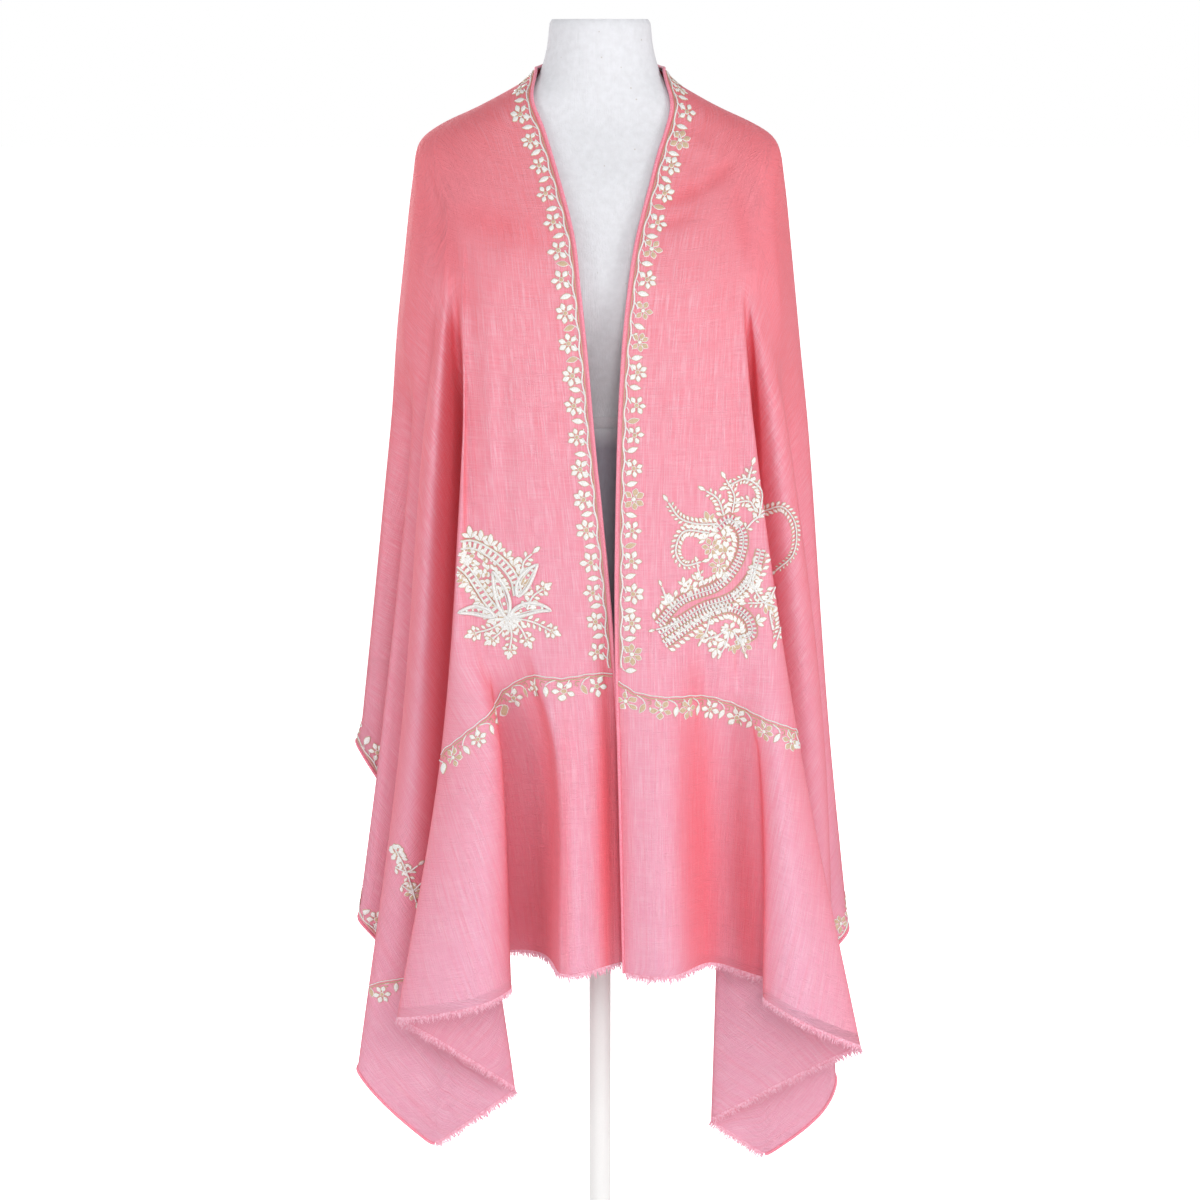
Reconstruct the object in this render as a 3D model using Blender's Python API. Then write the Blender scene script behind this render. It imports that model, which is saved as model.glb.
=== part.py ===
"""A pashmina shawl worn as a wrap over a limbless dress form.

The shawl is one rectangle of cloth, 0.70 x 2.00 m. Its surface is worked out from fold lines that run
from the neck down to the hem: above the height where a fold starts, its line lies on the smooth
wrap over the shoulders, and below it the line passes through the places in the fold tables.
Left is -X, the front faces -Y, +Z is up, and the origin is the middle of the base's underside.
"""

import math
from collections import namedtuple

import bmesh
import bpy
import numpy as np
from mathutils import Vector

# Driving dimensions, in metres
CLOTH_WALL = 0.0016
SEAM_GAP = 0.0003
CLOTH_SEAM_GAP = 0.0004
HIP_LEVEL = 0.86
WRAP_POWER = 0.8
FORM_POWER = 0.9
FORM_CLEARANCE = 0.0055
FORM_SIDES = 32
HEM_RADIUS = 0.0015
HEM_OFFSET = 0.0026
NAPE_STEP = 4
FRINGE_GAP = 0.0005
FRINGE_TRIM = 0.003
FRINGE_STRIP = 0.004
FRINGE_LENGTH = 0.0085
FRINGE_SWAY = 0.06
FRINGE_TAPER = 0.6
FRINGE_STRANDS = 78
WAIST_TAPE_HEIGHTS = (1.1135, 1.1245)
WAIST_TAPE_WALL = 0.0012
POLE_RADIUS = 0.011
COLLAR_RADIUS = 0.030
COLLAR_HEIGHT = 0.030
BASE_RADIUS = 0.190
BASE_HEIGHT = 0.016
BASE_EDGE = 0.005

# Colour, roughness and metallic of each material
MATERIALS = {
    "pashmina": ((0.84, 0.24, 0.31), 0.85, 0.0),
    "pashmina_hem": ((0.86, 0.27, 0.35), 0.7, 0.0),
    "linen": ((0.80, 0.79, 0.80), 0.9, 0.0),
    "tape": ((0.74, 0.73, 0.75), 0.85, 0.0),
    "stand": ((0.86, 0.86, 0.85), 0.4, 0.0),
}

# The smooth wrap, a row for each turn round the body: drop is 0 at the neck and 1 at the hip, and
# the heights are those at the front edge, the side and the back
Section = namedtuple("Section", "drop front_z side_z back_z half_left half_right side_y back_y")
WRAP = [
    Section(0.00, 1.452, 1.453, 1.464, 0.0608, 0.0602, 0.010, 0.0600),
    Section(0.04, 1.440, 1.441, 1.455, 0.0740, 0.0720, 0.012, 0.0685),
    Section(0.08, 1.425, 1.430, 1.443, 0.0930, 0.0900, 0.014, 0.0758),
    Section(0.13, 1.405, 1.415, 1.426, 0.1220, 0.1180, 0.016, 0.0830),
    Section(0.19, 1.380, 1.400, 1.402, 0.1550, 0.1510, 0.018, 0.0900),
    Section(0.25, 1.350, 1.382, 1.370, 0.1770, 0.1750, 0.018, 0.0960),
    Section(0.32, 1.310, 1.348, 1.330, 0.1835, 0.1810, 0.018, 0.1000),
    Section(0.42, 1.250, 1.280, 1.265, 0.1920, 0.1890, 0.022, 0.1030),
    Section(0.55, 1.170, 1.180, 1.180, 0.2035, 0.2000, 0.030, 0.1040),
    Section(0.70, 1.080, 1.080, 1.080, 0.2105, 0.2110, 0.036, 0.1050),
    Section(0.85, 0.970, 0.970, 0.970, 0.2210, 0.2205, 0.044, 0.1060),
    Section(1.00, 0.860, 0.860, 0.860, 0.2360, 0.2290, 0.048, 0.1080),
]

# The front edges of the cloth, by height
EdgePoint = namedtuple("EdgePoint", "z left left_y right right_y")
FRONT_EDGE = [
    EdgePoint(1.452, 0.0598, -0.008, 0.0590, -0.008),
    EdgePoint(1.437, 0.0590, -0.026, 0.0590, -0.026),
    EdgePoint(1.406, 0.0520, -0.047, 0.0560, -0.046),
    EdgePoint(1.374, 0.0450, -0.067, 0.0475, -0.066),
    EdgePoint(1.346, 0.0380, -0.084, 0.0412, -0.083),
    EdgePoint(1.318, 0.0310, -0.100, 0.0350, -0.099),
    EdgePoint(1.295, 0.0255, -0.112, 0.0292, -0.111),
    EdgePoint(1.253, 0.0208, -0.126, 0.0220, -0.126),
    EdgePoint(1.187, 0.0140, -0.131, 0.0150, -0.132),
    EdgePoint(1.100, 0.0065, -0.132, 0.0104, -0.135),
    EdgePoint(0.946, -0.0086, -0.131, 0.0078, -0.139),
    EdgePoint(0.800, -0.0172, -0.130, 0.0118, -0.141),
    EdgePoint(0.590, -0.0220, -0.134, 0.0170, -0.146),
]

# A row for each fold line. place is where it leaves the wrap at start_z: 0 at the front edge, 1 at
# the side, 2 at the centre back. tip is the width of a folded tip, 0 for a soft ridge or valley.
# Each pair is the distance out from the centre and the depth, at the waist (1.10), at the hip
# (0.80) and at the hem.
Fold = namedtuple("Fold", "name place start_z tip waist hip hem hem_z")
LEFT_FOLDS = [
    Fold("ridge", 0.11, 0.93, 0, None, (0.026, -0.152), (0.024, -0.167), 0.590),
    Fold("ridge_edge", 0.165, 0.92, 0.007, None, (0.0415, -0.149), (0.0395, -0.160), 0.590),
    Fold("valley_wall", 0.19, 0.92, 0, None, (0.050, -0.116), (0.049, -0.112), 0.594),
    Fold("valley", 0.22, 0.92, 0, None, (0.074, -0.103), (0.070, -0.082), 0.591),
    Fold("valley_turn", 0.26, 0.905, 0.010, None, (0.099, -0.106), (0.101, -0.080), 0.588),
    Fold("flare_edge", 0.29, 0.905, 0.012, None, (0.095, -0.130), (0.086, -0.128), 0.565),
    Fold("flare_crest", 0.32, 0.93, 0, None, (0.110, -0.147), (0.114, -0.162), 0.557),
    Fold("flare_slope", 0.35, 1.00, 0, None, (0.138, -0.137), (0.168, -0.147), 0.543),
    Fold("flare_fold", 0.385, 1.255, 0.010, (0.1305, -0.118), (0.1550, -0.116), (0.2020, -0.120), 0.533),
    Fold("inner_slope", 0.41, 1.25, 0, (0.1285, -0.090), (0.1420, -0.080), (0.1430, -0.074), 0.484),
    Fold("inner_fold", 0.43, 1.25, 0.010, (0.1285, -0.058), (0.1300, -0.050), (0.0830, -0.044), 0.432),
    Fold("tail_corner", 0.45, 1.25, 0.002, (0.1420, -0.078), (0.1520, -0.050), (0.1690, -0.038), 0.371),
    Fold("tail_bend", 0.465, 1.25, 0, (0.1580, -0.106), (0.1830, -0.078), (0.2240, -0.032), 0.415),
    Fold("tail_fold", 0.485, 1.25, 0.012, (0.1715, -0.078), (0.1990, -0.040), (0.2480, -0.028), 0.453),
    Fold("tail_return", 0.54, 1.24, 0.012, (0.1640, -0.046), (0.1640, -0.002), (0.1780, 0.004), 0.520),
    Fold("second_fold", 0.65, 1.23, 0.012, (0.1850, -0.022), (0.2220, 0.012), (0.2500, 0.016), 0.597),
    Fold("second_return", 0.78, 1.20, 0.012, (0.1840, 0.006), (0.1800, 0.036), (0.1900, 0.042), 0.675),
    Fold("side_fold", 1.00, 1.17, 0.016, (0.2095, 0.030), (0.2450, 0.052), (0.2520, 0.056), 0.774),
    Fold("back_side", 1.18, 1.05, 0, None, (0.2200, 0.086), (0.2240, 0.094), 0.777),
    Fold("back_dip_1", 1.33, 1.05, 0, None, (0.1800, 0.096), (0.1820, 0.093), 0.780),
    Fold("back_pleat_1", 1.48, 1.10, 0, None, (0.1400, 0.120), (0.1420, 0.128), 0.776),
    Fold("back_dip_2", 1.63, 1.08, 0, None, (0.0980, 0.104), (0.0980, 0.100), 0.781),
    Fold("back_pleat_2", 1.80, 1.12, 0, None, (0.0520, 0.122), (0.0530, 0.130), 0.776),
]
CENTRE_BACK = Fold("centre_back", 2.00, 1.05, 0, None, (0.0, 0.106), (0.0, 0.103), 0.781)
RIGHT_FOLDS = [
    Fold("ridge", 0.11, 0.97, 0, None, (0.055, -0.156), (0.058, -0.170), 0.587),
    Fold("slope", 0.17, 0.93, 0, None, (0.080, -0.151), (0.083, -0.160), 0.590),
    Fold("crease", 0.21, 0.91, 0, None, (0.101, -0.123), (0.104, -0.119), 0.590),
    Fold("swell", 0.25, 0.90, 0, None, (0.119, -0.115), (0.124, -0.108), 0.583),
    Fold("valley", 0.28, 0.90, 0, None, (0.136, -0.113), (0.146, -0.101), 0.572),
    Fold("valley_turn", 0.31, 0.88, 0.010, None, (0.150, -0.118), (0.166, -0.099), 0.566),
    Fold("flare_edge", 0.33, 0.88, 0.012, None, (0.157, -0.129), (0.159, -0.134), 0.557),
    Fold("flare_crest", 0.355, 0.93, 0, None, (0.171, -0.139), (0.190, -0.157), 0.543),
    Fold("flare_slope", 0.38, 1.05, 0, None, (0.184, -0.132), (0.228, -0.145), 0.522),
    Fold("flare_fold", 0.41, 1.245, 0.010, (0.1485, -0.111), (0.1960, -0.108), (0.2590, -0.120), 0.504),
    Fold("inner_slope", 0.425, 1.24, 0, (0.1430, -0.088), (0.1610, -0.072), (0.1880, -0.070), 0.452),
    Fold("inner_fold", 0.44, 1.24, 0.010, (0.1420, -0.056), (0.1220, -0.050), (0.1100, -0.044), 0.400),
    Fold("tail_corner", 0.46, 1.24, 0.002, (0.1550, -0.080), (0.1700, -0.048), (0.1680, -0.038), 0.360),
    Fold("tail_bend", 0.48, 1.24, 0, (0.1700, -0.091), (0.2080, -0.064), (0.2320, -0.032), 0.402),
    Fold("tail_fold", 0.51, 1.24, 0.012, (0.1835, -0.071), (0.2240, -0.036), (0.2400, -0.026), 0.445),
    Fold("tail_return", 0.66, 1.22, 0.012, (0.1790, -0.020), (0.1840, 0.010), (0.1900, 0.016), 0.500),
    Fold("side_fold", 1.00, 1.17, 0.016, (0.2085, 0.030), (0.2345, 0.050), (0.2590, 0.056), 0.570),
    Fold("back_side", 1.18, 1.05, 0, None, (0.2180, 0.084), (0.2340, 0.094), 0.640),
    Fold("back_dip_1", 1.33, 1.05, 0, None, (0.1820, 0.096), (0.1880, 0.093), 0.700),
    Fold("back_pleat_1", 1.48, 1.10, 0, None, (0.1420, 0.120), (0.1450, 0.128), 0.742),
    Fold("back_dip_2", 1.63, 1.08, 0, None, (0.0990, 0.104), (0.1000, 0.100), 0.766),
    Fold("back_pleat_2", 1.80, 1.12, 0, None, (0.0520, 0.122), (0.0530, 0.130), 0.776),
]
WAIST_Z = 1.10
HIP_Z = 0.80
EVEN_UNTIL = 0.36
EVEN_FRONT_SHARE = 0.175

# The dress form, a row for each height
Ring = namedtuple("Ring", "z half front back")
FORM = [
    Ring(1.5000, 0.0465, 0.0450, 0.0450),
    Ring(1.4960, 0.0488, 0.0470, 0.0470),
    Ring(1.4750, 0.0512, 0.0480, 0.0490),
    Ring(1.4560, 0.0560, 0.0485, 0.0530),
    Ring(1.4430, 0.0620, 0.0490, 0.0560),
    Ring(1.4300, 0.0790, 0.0500, 0.0600),
    Ring(1.4150, 0.1070, 0.0520, 0.0660),
    Ring(1.4000, 0.1360, 0.0560, 0.0720),
    Ring(1.3870, 0.1570, 0.0620, 0.0765),
    Ring(1.3700, 0.1690, 0.0700, 0.0805),
    Ring(1.3450, 0.1730, 0.0830, 0.0850),
    Ring(1.3000, 0.1720, 0.1010, 0.0890),
    Ring(1.2550, 0.1640, 0.1140, 0.0910),
    Ring(1.2000, 0.1460, 0.1080, 0.0870),
    Ring(1.1200, 0.1200, 0.0870, 0.0660),
    Ring(1.0600, 0.1270, 0.0880, 0.0770),
    Ring(0.9600, 0.1430, 0.0930, 0.0930),
    Ring(0.8800, 0.1400, 0.0880, 0.0930),
    Ring(0.8000, 0.1240, 0.0760, 0.0840),
]

# Where the cloth's solids part
SIDE_SEAM = "tail_bend"
BACK_SEAM = "back_side"
DROPS = [0, 0.05, 0.10, 0.155, 0.215, 0.28, 0.36, 0.46, 0.57, 0.68, 0.79, 0.90, 1.0, 1.2, 1.42, 1.64,
         1.84, 2.0]
STEPS_PER_SPAN = 2


def smooth_between(knots, at):
    """A value at a place along knots of (place, value), on a smooth curve through them."""
    places = [place for place, _ in knots]
    values = [np.asarray(value, float) for _, value in knots]
    if places[0] > places[-1]:
        places, values = places[::-1], values[::-1]
    at = min(max(at, places[0]), places[-1])
    i = min(int(np.searchsorted(places, at, side="right")) - 1, len(places) - 2)

    def slope(k):
        low, high = max(k - 1, 0), min(k + 1, len(places) - 1)
        return (values[high] - values[low]) / (places[high] - places[low])

    width = places[i + 1] - places[i]
    t = (at - places[i]) / width
    rise, fall = slope(i) * width, slope(i + 1) * width
    return (
        (2 * t**3 - 3 * t**2 + 1) * values[i]
        + (t**3 - 2 * t**2 + t) * rise
        + (3 * t**2 - 2 * t**3) * values[i + 1]
        + (t**3 - t**2) * fall
    )


def ease(t):
    t = min(max(t, 0.0), 1.0)
    return t * t * (3 - 2 * t)


WRAP_KNOTS = [(row.drop, row[1:]) for row in WRAP]
EDGE_KNOTS = [(row.z, row[1:]) for row in FRONT_EDGE]
FORM_KNOTS = [(row.z, row[1:]) for row in FORM]


def front_edge(side, z):
    """How far out the front edge is, and its depth."""
    left, left_y, right, right_y = smooth_between(EDGE_KNOTS, z)
    return (left, left_y) if side < 0 else (right, right_y)


def wrap_point(side, place, drop):
    """A point of the smooth wrap. side is -1 on the left and 1 on the right."""
    row = Section(drop, *smooth_between(WRAP_KNOTS, drop))
    half = row.half_left if side < 0 else row.half_right
    if place <= 1:
        z = row.front_z + (row.side_z - row.front_z) * ease(place)
        out, y = front_edge(side, row.front_z)
        turn = place * math.pi / 2
        out += (half - out) * math.sin(turn) ** WRAP_POWER
        y = row.side_y - (row.side_y - y) * math.cos(turn) ** WRAP_POWER
    else:
        z = row.side_z + (row.back_z - row.side_z) * ease(place - 1)
        turn = (place - 1) * math.pi / 2
        out = half * max(math.cos(turn), 0) ** WRAP_POWER
        y = row.side_y + (row.back_y - row.side_y) * math.sin(turn) ** WRAP_POWER
    return np.array([side * out, y, z])


def drop_at(side, place, z):
    """The drop at which the wrap reaches a height at this place."""
    low, high = 0.0, 1.0
    for _ in range(24):
        middle = (low + high) / 2
        if wrap_point(side, place, middle)[2] > z:
            low = middle
        else:
            high = middle
    return low


def clear_of_form(point):
    """Moves a point out to where it rests on the dress form, if it is nearer than that."""
    x, y, z = point
    if z > FORM[0].z or z < FORM[-1].z:
        return point
    half, front, back = smooth_between(FORM_KNOTS, z)
    depth = front if y < 0 else back
    power = 2 / FORM_POWER
    share = (abs(x / half) ** power + abs(y / depth) ** power) ** (1 / power)
    away = math.hypot(x, y)
    least = away / max(share, 1e-6) + FORM_CLEARANCE
    soft = 0.003
    wanted = (away + least + math.sqrt((away - least) ** 2 + soft**2)) / 2
    return np.array([x * wanted / away, y * wanted / away, z])


class FoldLine:
    """One fold from the neck to the hem."""

    def __init__(self, side, fold, order, count):
        self.side, self.fold = side, fold
        share = order / count
        if share < EVEN_FRONT_SHARE:
            self.neck_place = share / EVEN_FRONT_SHARE
        else:
            self.neck_place = 1 + (share - EVEN_FRONT_SHARE) / (1 - EVEN_FRONT_SHARE)
        knots = []
        for z in (fold.start_z + 0.09, fold.start_z + 0.045, fold.start_z):
            drop = drop_at(side, fold.place, z)
            knots.append((z, wrap_point(side, fold.place, drop)[:2]))
        for z, pair in ((WAIST_Z, fold.waist), (HIP_Z, fold.hip), (fold.hem_z, fold.hem)):
            if pair:
                knots.append((z, (side * pair[0], pair[1])))
        self.knots = knots[::-1]

    def place(self, drop):
        return self.neck_place + (self.fold.place - self.neck_place) * ease(drop / EVEN_UNTIL)

    def point(self, drop):
        if drop <= 1:
            on_wrap = wrap_point(self.side, self.place(drop), drop)
            z = on_wrap[2]
            if z >= self.fold.start_z:
                return on_wrap
        else:
            z = HIP_LEVEL + (self.fold.hem_z - HIP_LEVEL) * (drop - 1)
        return np.array([*smooth_between(self.knots, z), z])


class EdgeLine:
    """The front edge of the cloth, which every turn starts or ends at."""

    def __init__(self, side, hem_z):
        self.side, self.hem_z = side, hem_z
        self.fold = Fold("edge", 0, 0, 0, None, None, None, hem_z)

    def point(self, drop):
        if drop <= 1:
            z = float(smooth_between(WRAP_KNOTS, drop)[0])
        else:
            z = HIP_LEVEL + (self.hem_z - HIP_LEVEL) * (drop - 1)
        out, y = front_edge(self.side, z)
        return np.array([self.side * out, y, z])


def fold_lines():
    """All the lines in order, from the left front edge round the back to the right front edge."""
    left = [FoldLine(-1, f, i + 1, len(LEFT_FOLDS) + 1) for i, f in enumerate(LEFT_FOLDS)]
    right = [FoldLine(1, f, i + 1, len(RIGHT_FOLDS) + 1) for i, f in enumerate(RIGHT_FOLDS)]
    back = FoldLine(1, CENTRE_BACK, 1, 1)
    return [EdgeLine(-1, 0.594), *left, back, *right[::-1], EdgeLine(1, 0.588)]


LINES = fold_lines()


def turn_controls(drop):
    """The control points of one turn of cloth, two at each folded tip."""
    middles = [line.point(drop) for line in LINES]
    controls = [middles[0]] * 3
    for i in range(1, len(middles) - 1):
        here, tip = middles[i], LINES[i].fold.tip
        if not tip:
            controls.append(here)
            continue
        before, after = here - middles[i - 1], middles[i + 1] - here
        reach = min(np.linalg.norm(before), np.linalg.norm(after))
        along = before / np.linalg.norm(before) + after / np.linalg.norm(after)
        along[2] = 0
        along /= max(np.linalg.norm(along), 1e-9)
        half = min(tip / 2, 0.4 * reach)
        controls += [here - along * half, here + along * half]
    return controls + [middles[-1]] * 3


def line_spans():
    """The curve's parameter at each fold line's middle, in the numbering of turn_controls."""
    spans, at = [0.0], 2.0
    for line in LINES[1:-1]:
        if line.fold.tip:
            spans.append(at + 1.5)
            at += 2
        else:
            spans.append(at + 1.0)
            at += 1
    return [*spans, at + 2.0]


SPANS = line_spans()
CURVE_END = SPANS[-1] - 1
CURVE_START = 1.0


def on_turn(controls, u):
    """A point of the smooth curve that the control points pull, at parameter u."""
    i = min(int(u), len(controls) - 3)
    t = u - i
    weights = (
        (1 - t) ** 3 / 6,
        (3 * t**3 - 6 * t**2 + 4) / 6,
        (-3 * t**3 + 3 * t**2 + 3 * t + 1) / 6,
        t**3 / 6,
    )
    return sum(w * controls[i - 1 + k] for k, w in enumerate(weights))


def span_of(side, name):
    """The parameter at a fold line's middle."""
    for line, span in zip(LINES, SPANS):
        if line.fold.name == name and line.side == side:
            return span
    raise KeyError(name)


def column_of(span):
    return int(round((span - CURVE_START) * STEPS_PER_SPAN))


def cloth_grid():
    """The cloth's middle surface, as points[row, column], and its unit normals, which face out."""
    columns = column_of(CURVE_END) + 1
    places = np.linspace(CURVE_START, CURVE_END, columns)
    rows = []
    for drop in DROPS:
        controls = turn_controls(drop)
        rows.append([clear_of_form(on_turn(controls, u)) for u in places])
    points = np.array(rows)
    normals = np.cross(np.gradient(points, axis=0), np.gradient(points, axis=1))
    normals /= np.linalg.norm(normals, axis=2, keepdims=True)
    return points, normals


def material(name):
    made = bpy.data.materials.get(name)
    if made is None:
        colour, roughness, metallic = MATERIALS[name]
        made = bpy.data.materials.new(name)
        made.use_nodes = True
        shader = made.node_tree.nodes["Principled BSDF"]
        shader.inputs["Base Color"].default_value = (*colour, 1)
        shader.inputs["Roughness"].default_value = roughness
        shader.inputs["Metallic"].default_value = metallic
    return made


def add_object(name, mesh, material_name, parent):
    made = bpy.data.objects.new(name, mesh)
    bpy.context.collection.objects.link(made)
    made.data.materials.append(material(material_name))
    made.parent = parent
    return made


def mesh_from(name, shape):
    """Turns a bmesh into a smooth-shaded mesh, with its faces pointing out."""
    bmesh.ops.recalc_face_normals(shape, faces=shape.faces[:])
    mesh = bpy.data.meshes.new(name)
    shape.to_mesh(mesh)
    shape.free()
    mesh.shade_smooth()
    mesh.set_sharp_from_angle(angle=math.radians(40))
    return mesh


def cloth_piece(name, first, last, seams, parent):
    """The stretch of the shawl between two columns: two grids, bridged round their rims."""
    points, normals = POINTS[:, first:last + 1].copy(), NORMALS[:, first:last + 1]
    for edge, inside, is_seam in ((0, 1, seams[0]), (-1, -2, seams[1])):
        if is_seam:
            away = points[:, inside] - points[:, edge]
            away /= np.linalg.norm(away, axis=1, keepdims=True)
            points[:, edge] += away * CLOTH_SEAM_GAP / 2
    down, across = points.shape[0] - 1, points.shape[1] - 1
    shape = bmesh.new()
    rims = []
    for facing in (0.5, -0.5):
        skin = points + normals * CLOTH_WALL * facing
        made = bmesh.ops.create_grid(shape, x_segments=across, y_segments=down, size=0.5)["verts"]
        for vertex in made:
            column = round((vertex.co.x + 0.5) * across)
            row = round((vertex.co.y + 0.5) * down)
            vertex.co = Vector(skin[row, column])
        rims += [edge for edge in {e for v in made for e in v.link_edges} if edge.is_boundary]
    bmesh.ops.bridge_loops(shape, edges=rims)
    return add_object(name, mesh_from(name, shape), "pashmina", parent)


def beyond_edge(edge, inside, distance):
    """Points past an edge of the cloth, square to it and in line with the surface."""
    edge, inside = np.array(edge), np.array(inside)
    along = np.gradient(edge, axis=0)
    along /= np.linalg.norm(along, axis=1, keepdims=True)
    away = edge - inside
    away -= along * (away * along).sum(axis=1, keepdims=True)
    away /= np.linalg.norm(away, axis=1, keepdims=True)
    return edge + away * distance


def rolled_hem(name, points, parent):
    """A fine tube along an edge of the cloth."""
    curve = bpy.data.curves.new(name, "CURVE")
    curve.dimensions = "3D"
    curve.bevel_depth = HEM_RADIUS
    curve.bevel_resolution = 0
    curve.use_fill_caps = True
    spline = curve.splines.new("POLY")
    spline.points.add(len(points) - 1)
    for point, place in zip(spline.points, points):
        point.co = (*place, 1)
    return add_object(name, curve, "pashmina_hem", parent)


def neck_and_front_hem(parent):
    """Up the left front edge, round the nape and down the right one."""
    nape = slice(NAPE_STEP, -NAPE_STEP, NAPE_STEP)
    edge = [*POINTS[::-1, 0], *POINTS[0, nape], *POINTS[:, -1]]
    inside = [*POINTS[:0:-1, 1], POINTS[1, 1], *POINTS[1, nape], POINTS[1, -2], *POINTS[1:, -2]]
    return rolled_hem("neck_hem", beyond_edge(edge, inside, HEM_OFFSET), parent)


def lower_hem(parent):
    """Along the lower long edge, from one corner of the shawl to the other."""
    first, last = (column_of(span_of(side, "tail_corner")) for side in (-1, 1))
    edge, inside = POINTS[-1, first:last + 1], POINTS[-2, first:last + 1]
    return rolled_hem("lower_hem", beyond_edge(edge, inside, HEM_OFFSET), parent)


def evenly_along(points, count, trim):
    """Points evenly spaced along a run of straight stretches, short of its ends by trim."""
    lengths = np.linalg.norm(np.diff(points, axis=0), axis=1)
    along = np.concatenate([[0], np.cumsum(lengths)])
    wanted = np.linspace(trim, along[-1] - trim, count)
    return np.stack([np.interp(wanted, along, points[:, k]) for k in range(3)], axis=1)


def fringe(name, first, last, seed, parent):
    """Eyelash fringe: a narrow strip below the hem, with every second bottom face drawn down."""
    random = np.random.default_rng(seed)
    edge, inside = POINTS[-1, first:last + 1], POINTS[-2, first:last + 1]
    count = 2 * FRINGE_STRANDS + 2
    top = evenly_along(beyond_edge(edge, inside, FRINGE_GAP), count, FRINGE_TRIM)
    bottom = evenly_along(beyond_edge(edge, inside, FRINGE_GAP + FRINGE_STRIP), count, FRINGE_TRIM)
    normals = np.cross(np.gradient(top, axis=0), top - bottom)
    normals *= CLOTH_WALL / 2 / np.linalg.norm(normals, axis=1, keepdims=True)
    shape = bmesh.new()
    columns = []
    for high, low, normal in zip(top, bottom, normals):
        corners = (high + normal, low + normal, low - normal, high - normal)
        columns.append([shape.verts.new(Vector(corner)) for corner in corners])
    drawn, downs = [], []
    for i, (here, there) in enumerate(zip(columns, columns[1:])):
        for k in range(4):
            face = shape.faces.new((here[k], here[(k + 1) % 4], there[(k + 1) % 4], there[k]))
            if k == 1 and i % 2 == 0:
                drawn.append(face)
                downs.append(Vector(bottom[i] - top[i]).normalized())
    shape.faces.new(columns[0])
    shape.faces.new(columns[-1][::-1])
    shape.normal_update()
    strands = bmesh.ops.extrude_discrete_faces(shape, faces=drawn)["faces"]
    for face, down in zip(strands, downs):
        sway = Vector(random.normal(0, FRINGE_SWAY, 3))
        length = FRINGE_LENGTH * random.uniform(0.7, 1.0)
        centre = face.calc_center_median()
        for vertex in face.verts:
            vertex.co += (down + sway) * length + (centre - vertex.co) * FRINGE_TAPER
    return add_object(name, mesh_from(name, shape), "pashmina_hem", parent)


def form_ring(z, outward=0.0):
    """One turn of the dress form, outward by a distance."""
    half, front, back = smooth_between(FORM_KNOTS, z)
    points = []
    for i in range(FORM_SIDES):
        turn = 2 * math.pi * (i + 0.5) / FORM_SIDES
        across, deep = math.sin(turn), math.cos(turn)
        depth = front if deep > 0 else back
        x = math.copysign(abs(across) ** FORM_POWER, across) * (half + outward)
        y = -math.copysign(abs(deep) ** FORM_POWER, deep) * (depth + outward)
        points.append(Vector((x, y, z)))
    return points


def bridged(rings, closed=False):
    """A skin over rings of points, with its ends filled or, when closed, joined."""
    shape = bmesh.new()
    loops = []
    for ring in rings:
        made = bmesh.ops.create_circle(shape, segments=len(ring), radius=1)["verts"]
        for vertex, point in zip(made, ring):
            vertex.co = point
        loops.append(list({edge for vertex in made for edge in vertex.link_edges}))
    pairs = list(zip(loops, loops[1:]))
    if closed:
        pairs.append((loops[-1], loops[0]))
    for low, high in pairs:
        bmesh.ops.bridge_loops(shape, edges=low + high)
    if not closed:
        bmesh.ops.holes_fill(shape, edges=loops[0] + loops[-1], sides=len(rings[0]))
    return shape


def dress_form(parent):
    heights = sorted([row.z for row in FORM] + list(WAIST_TAPE_HEIGHTS), reverse=True)
    mesh = mesh_from("dress_form", bridged([form_ring(z) for z in heights]))
    return add_object("dress_form", mesh, "linen", parent)


def waist_tape(parent):
    low, high = WAIST_TAPE_HEIGHTS
    inner, outer = SEAM_GAP + 0.0005, SEAM_GAP + 0.0005 + WAIST_TAPE_WALL
    rings = [form_ring(low, inner), form_ring(low, outer), form_ring(high, outer), form_ring(high, inner)]
    shape = bridged(rings, closed=True)
    return add_object("waist_tape", mesh_from("waist_tape", shape), "tape", parent)


def turned(name, profile, material_name, parent, segments=32):
    """A solid turned about the vertical axis from (radius, height) pairs."""
    shape = bmesh.new()
    points = [shape.verts.new((radius, 0, z)) for radius, z in profile]
    edges = [shape.edges.new(pair) for pair in zip(points, points[1:])]
    bmesh.ops.spin(shape, geom=points + edges, axis=(0, 0, 1), cent=(0, 0, 0), dvec=(0, 0, 0),
                   angle=2 * math.pi, steps=segments, use_merge=True, use_duplicate=False)
    bmesh.ops.remove_doubles(shape, verts=shape.verts[:], dist=1e-6)
    return add_object(name, mesh_from(name, shape), material_name, parent)


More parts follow.
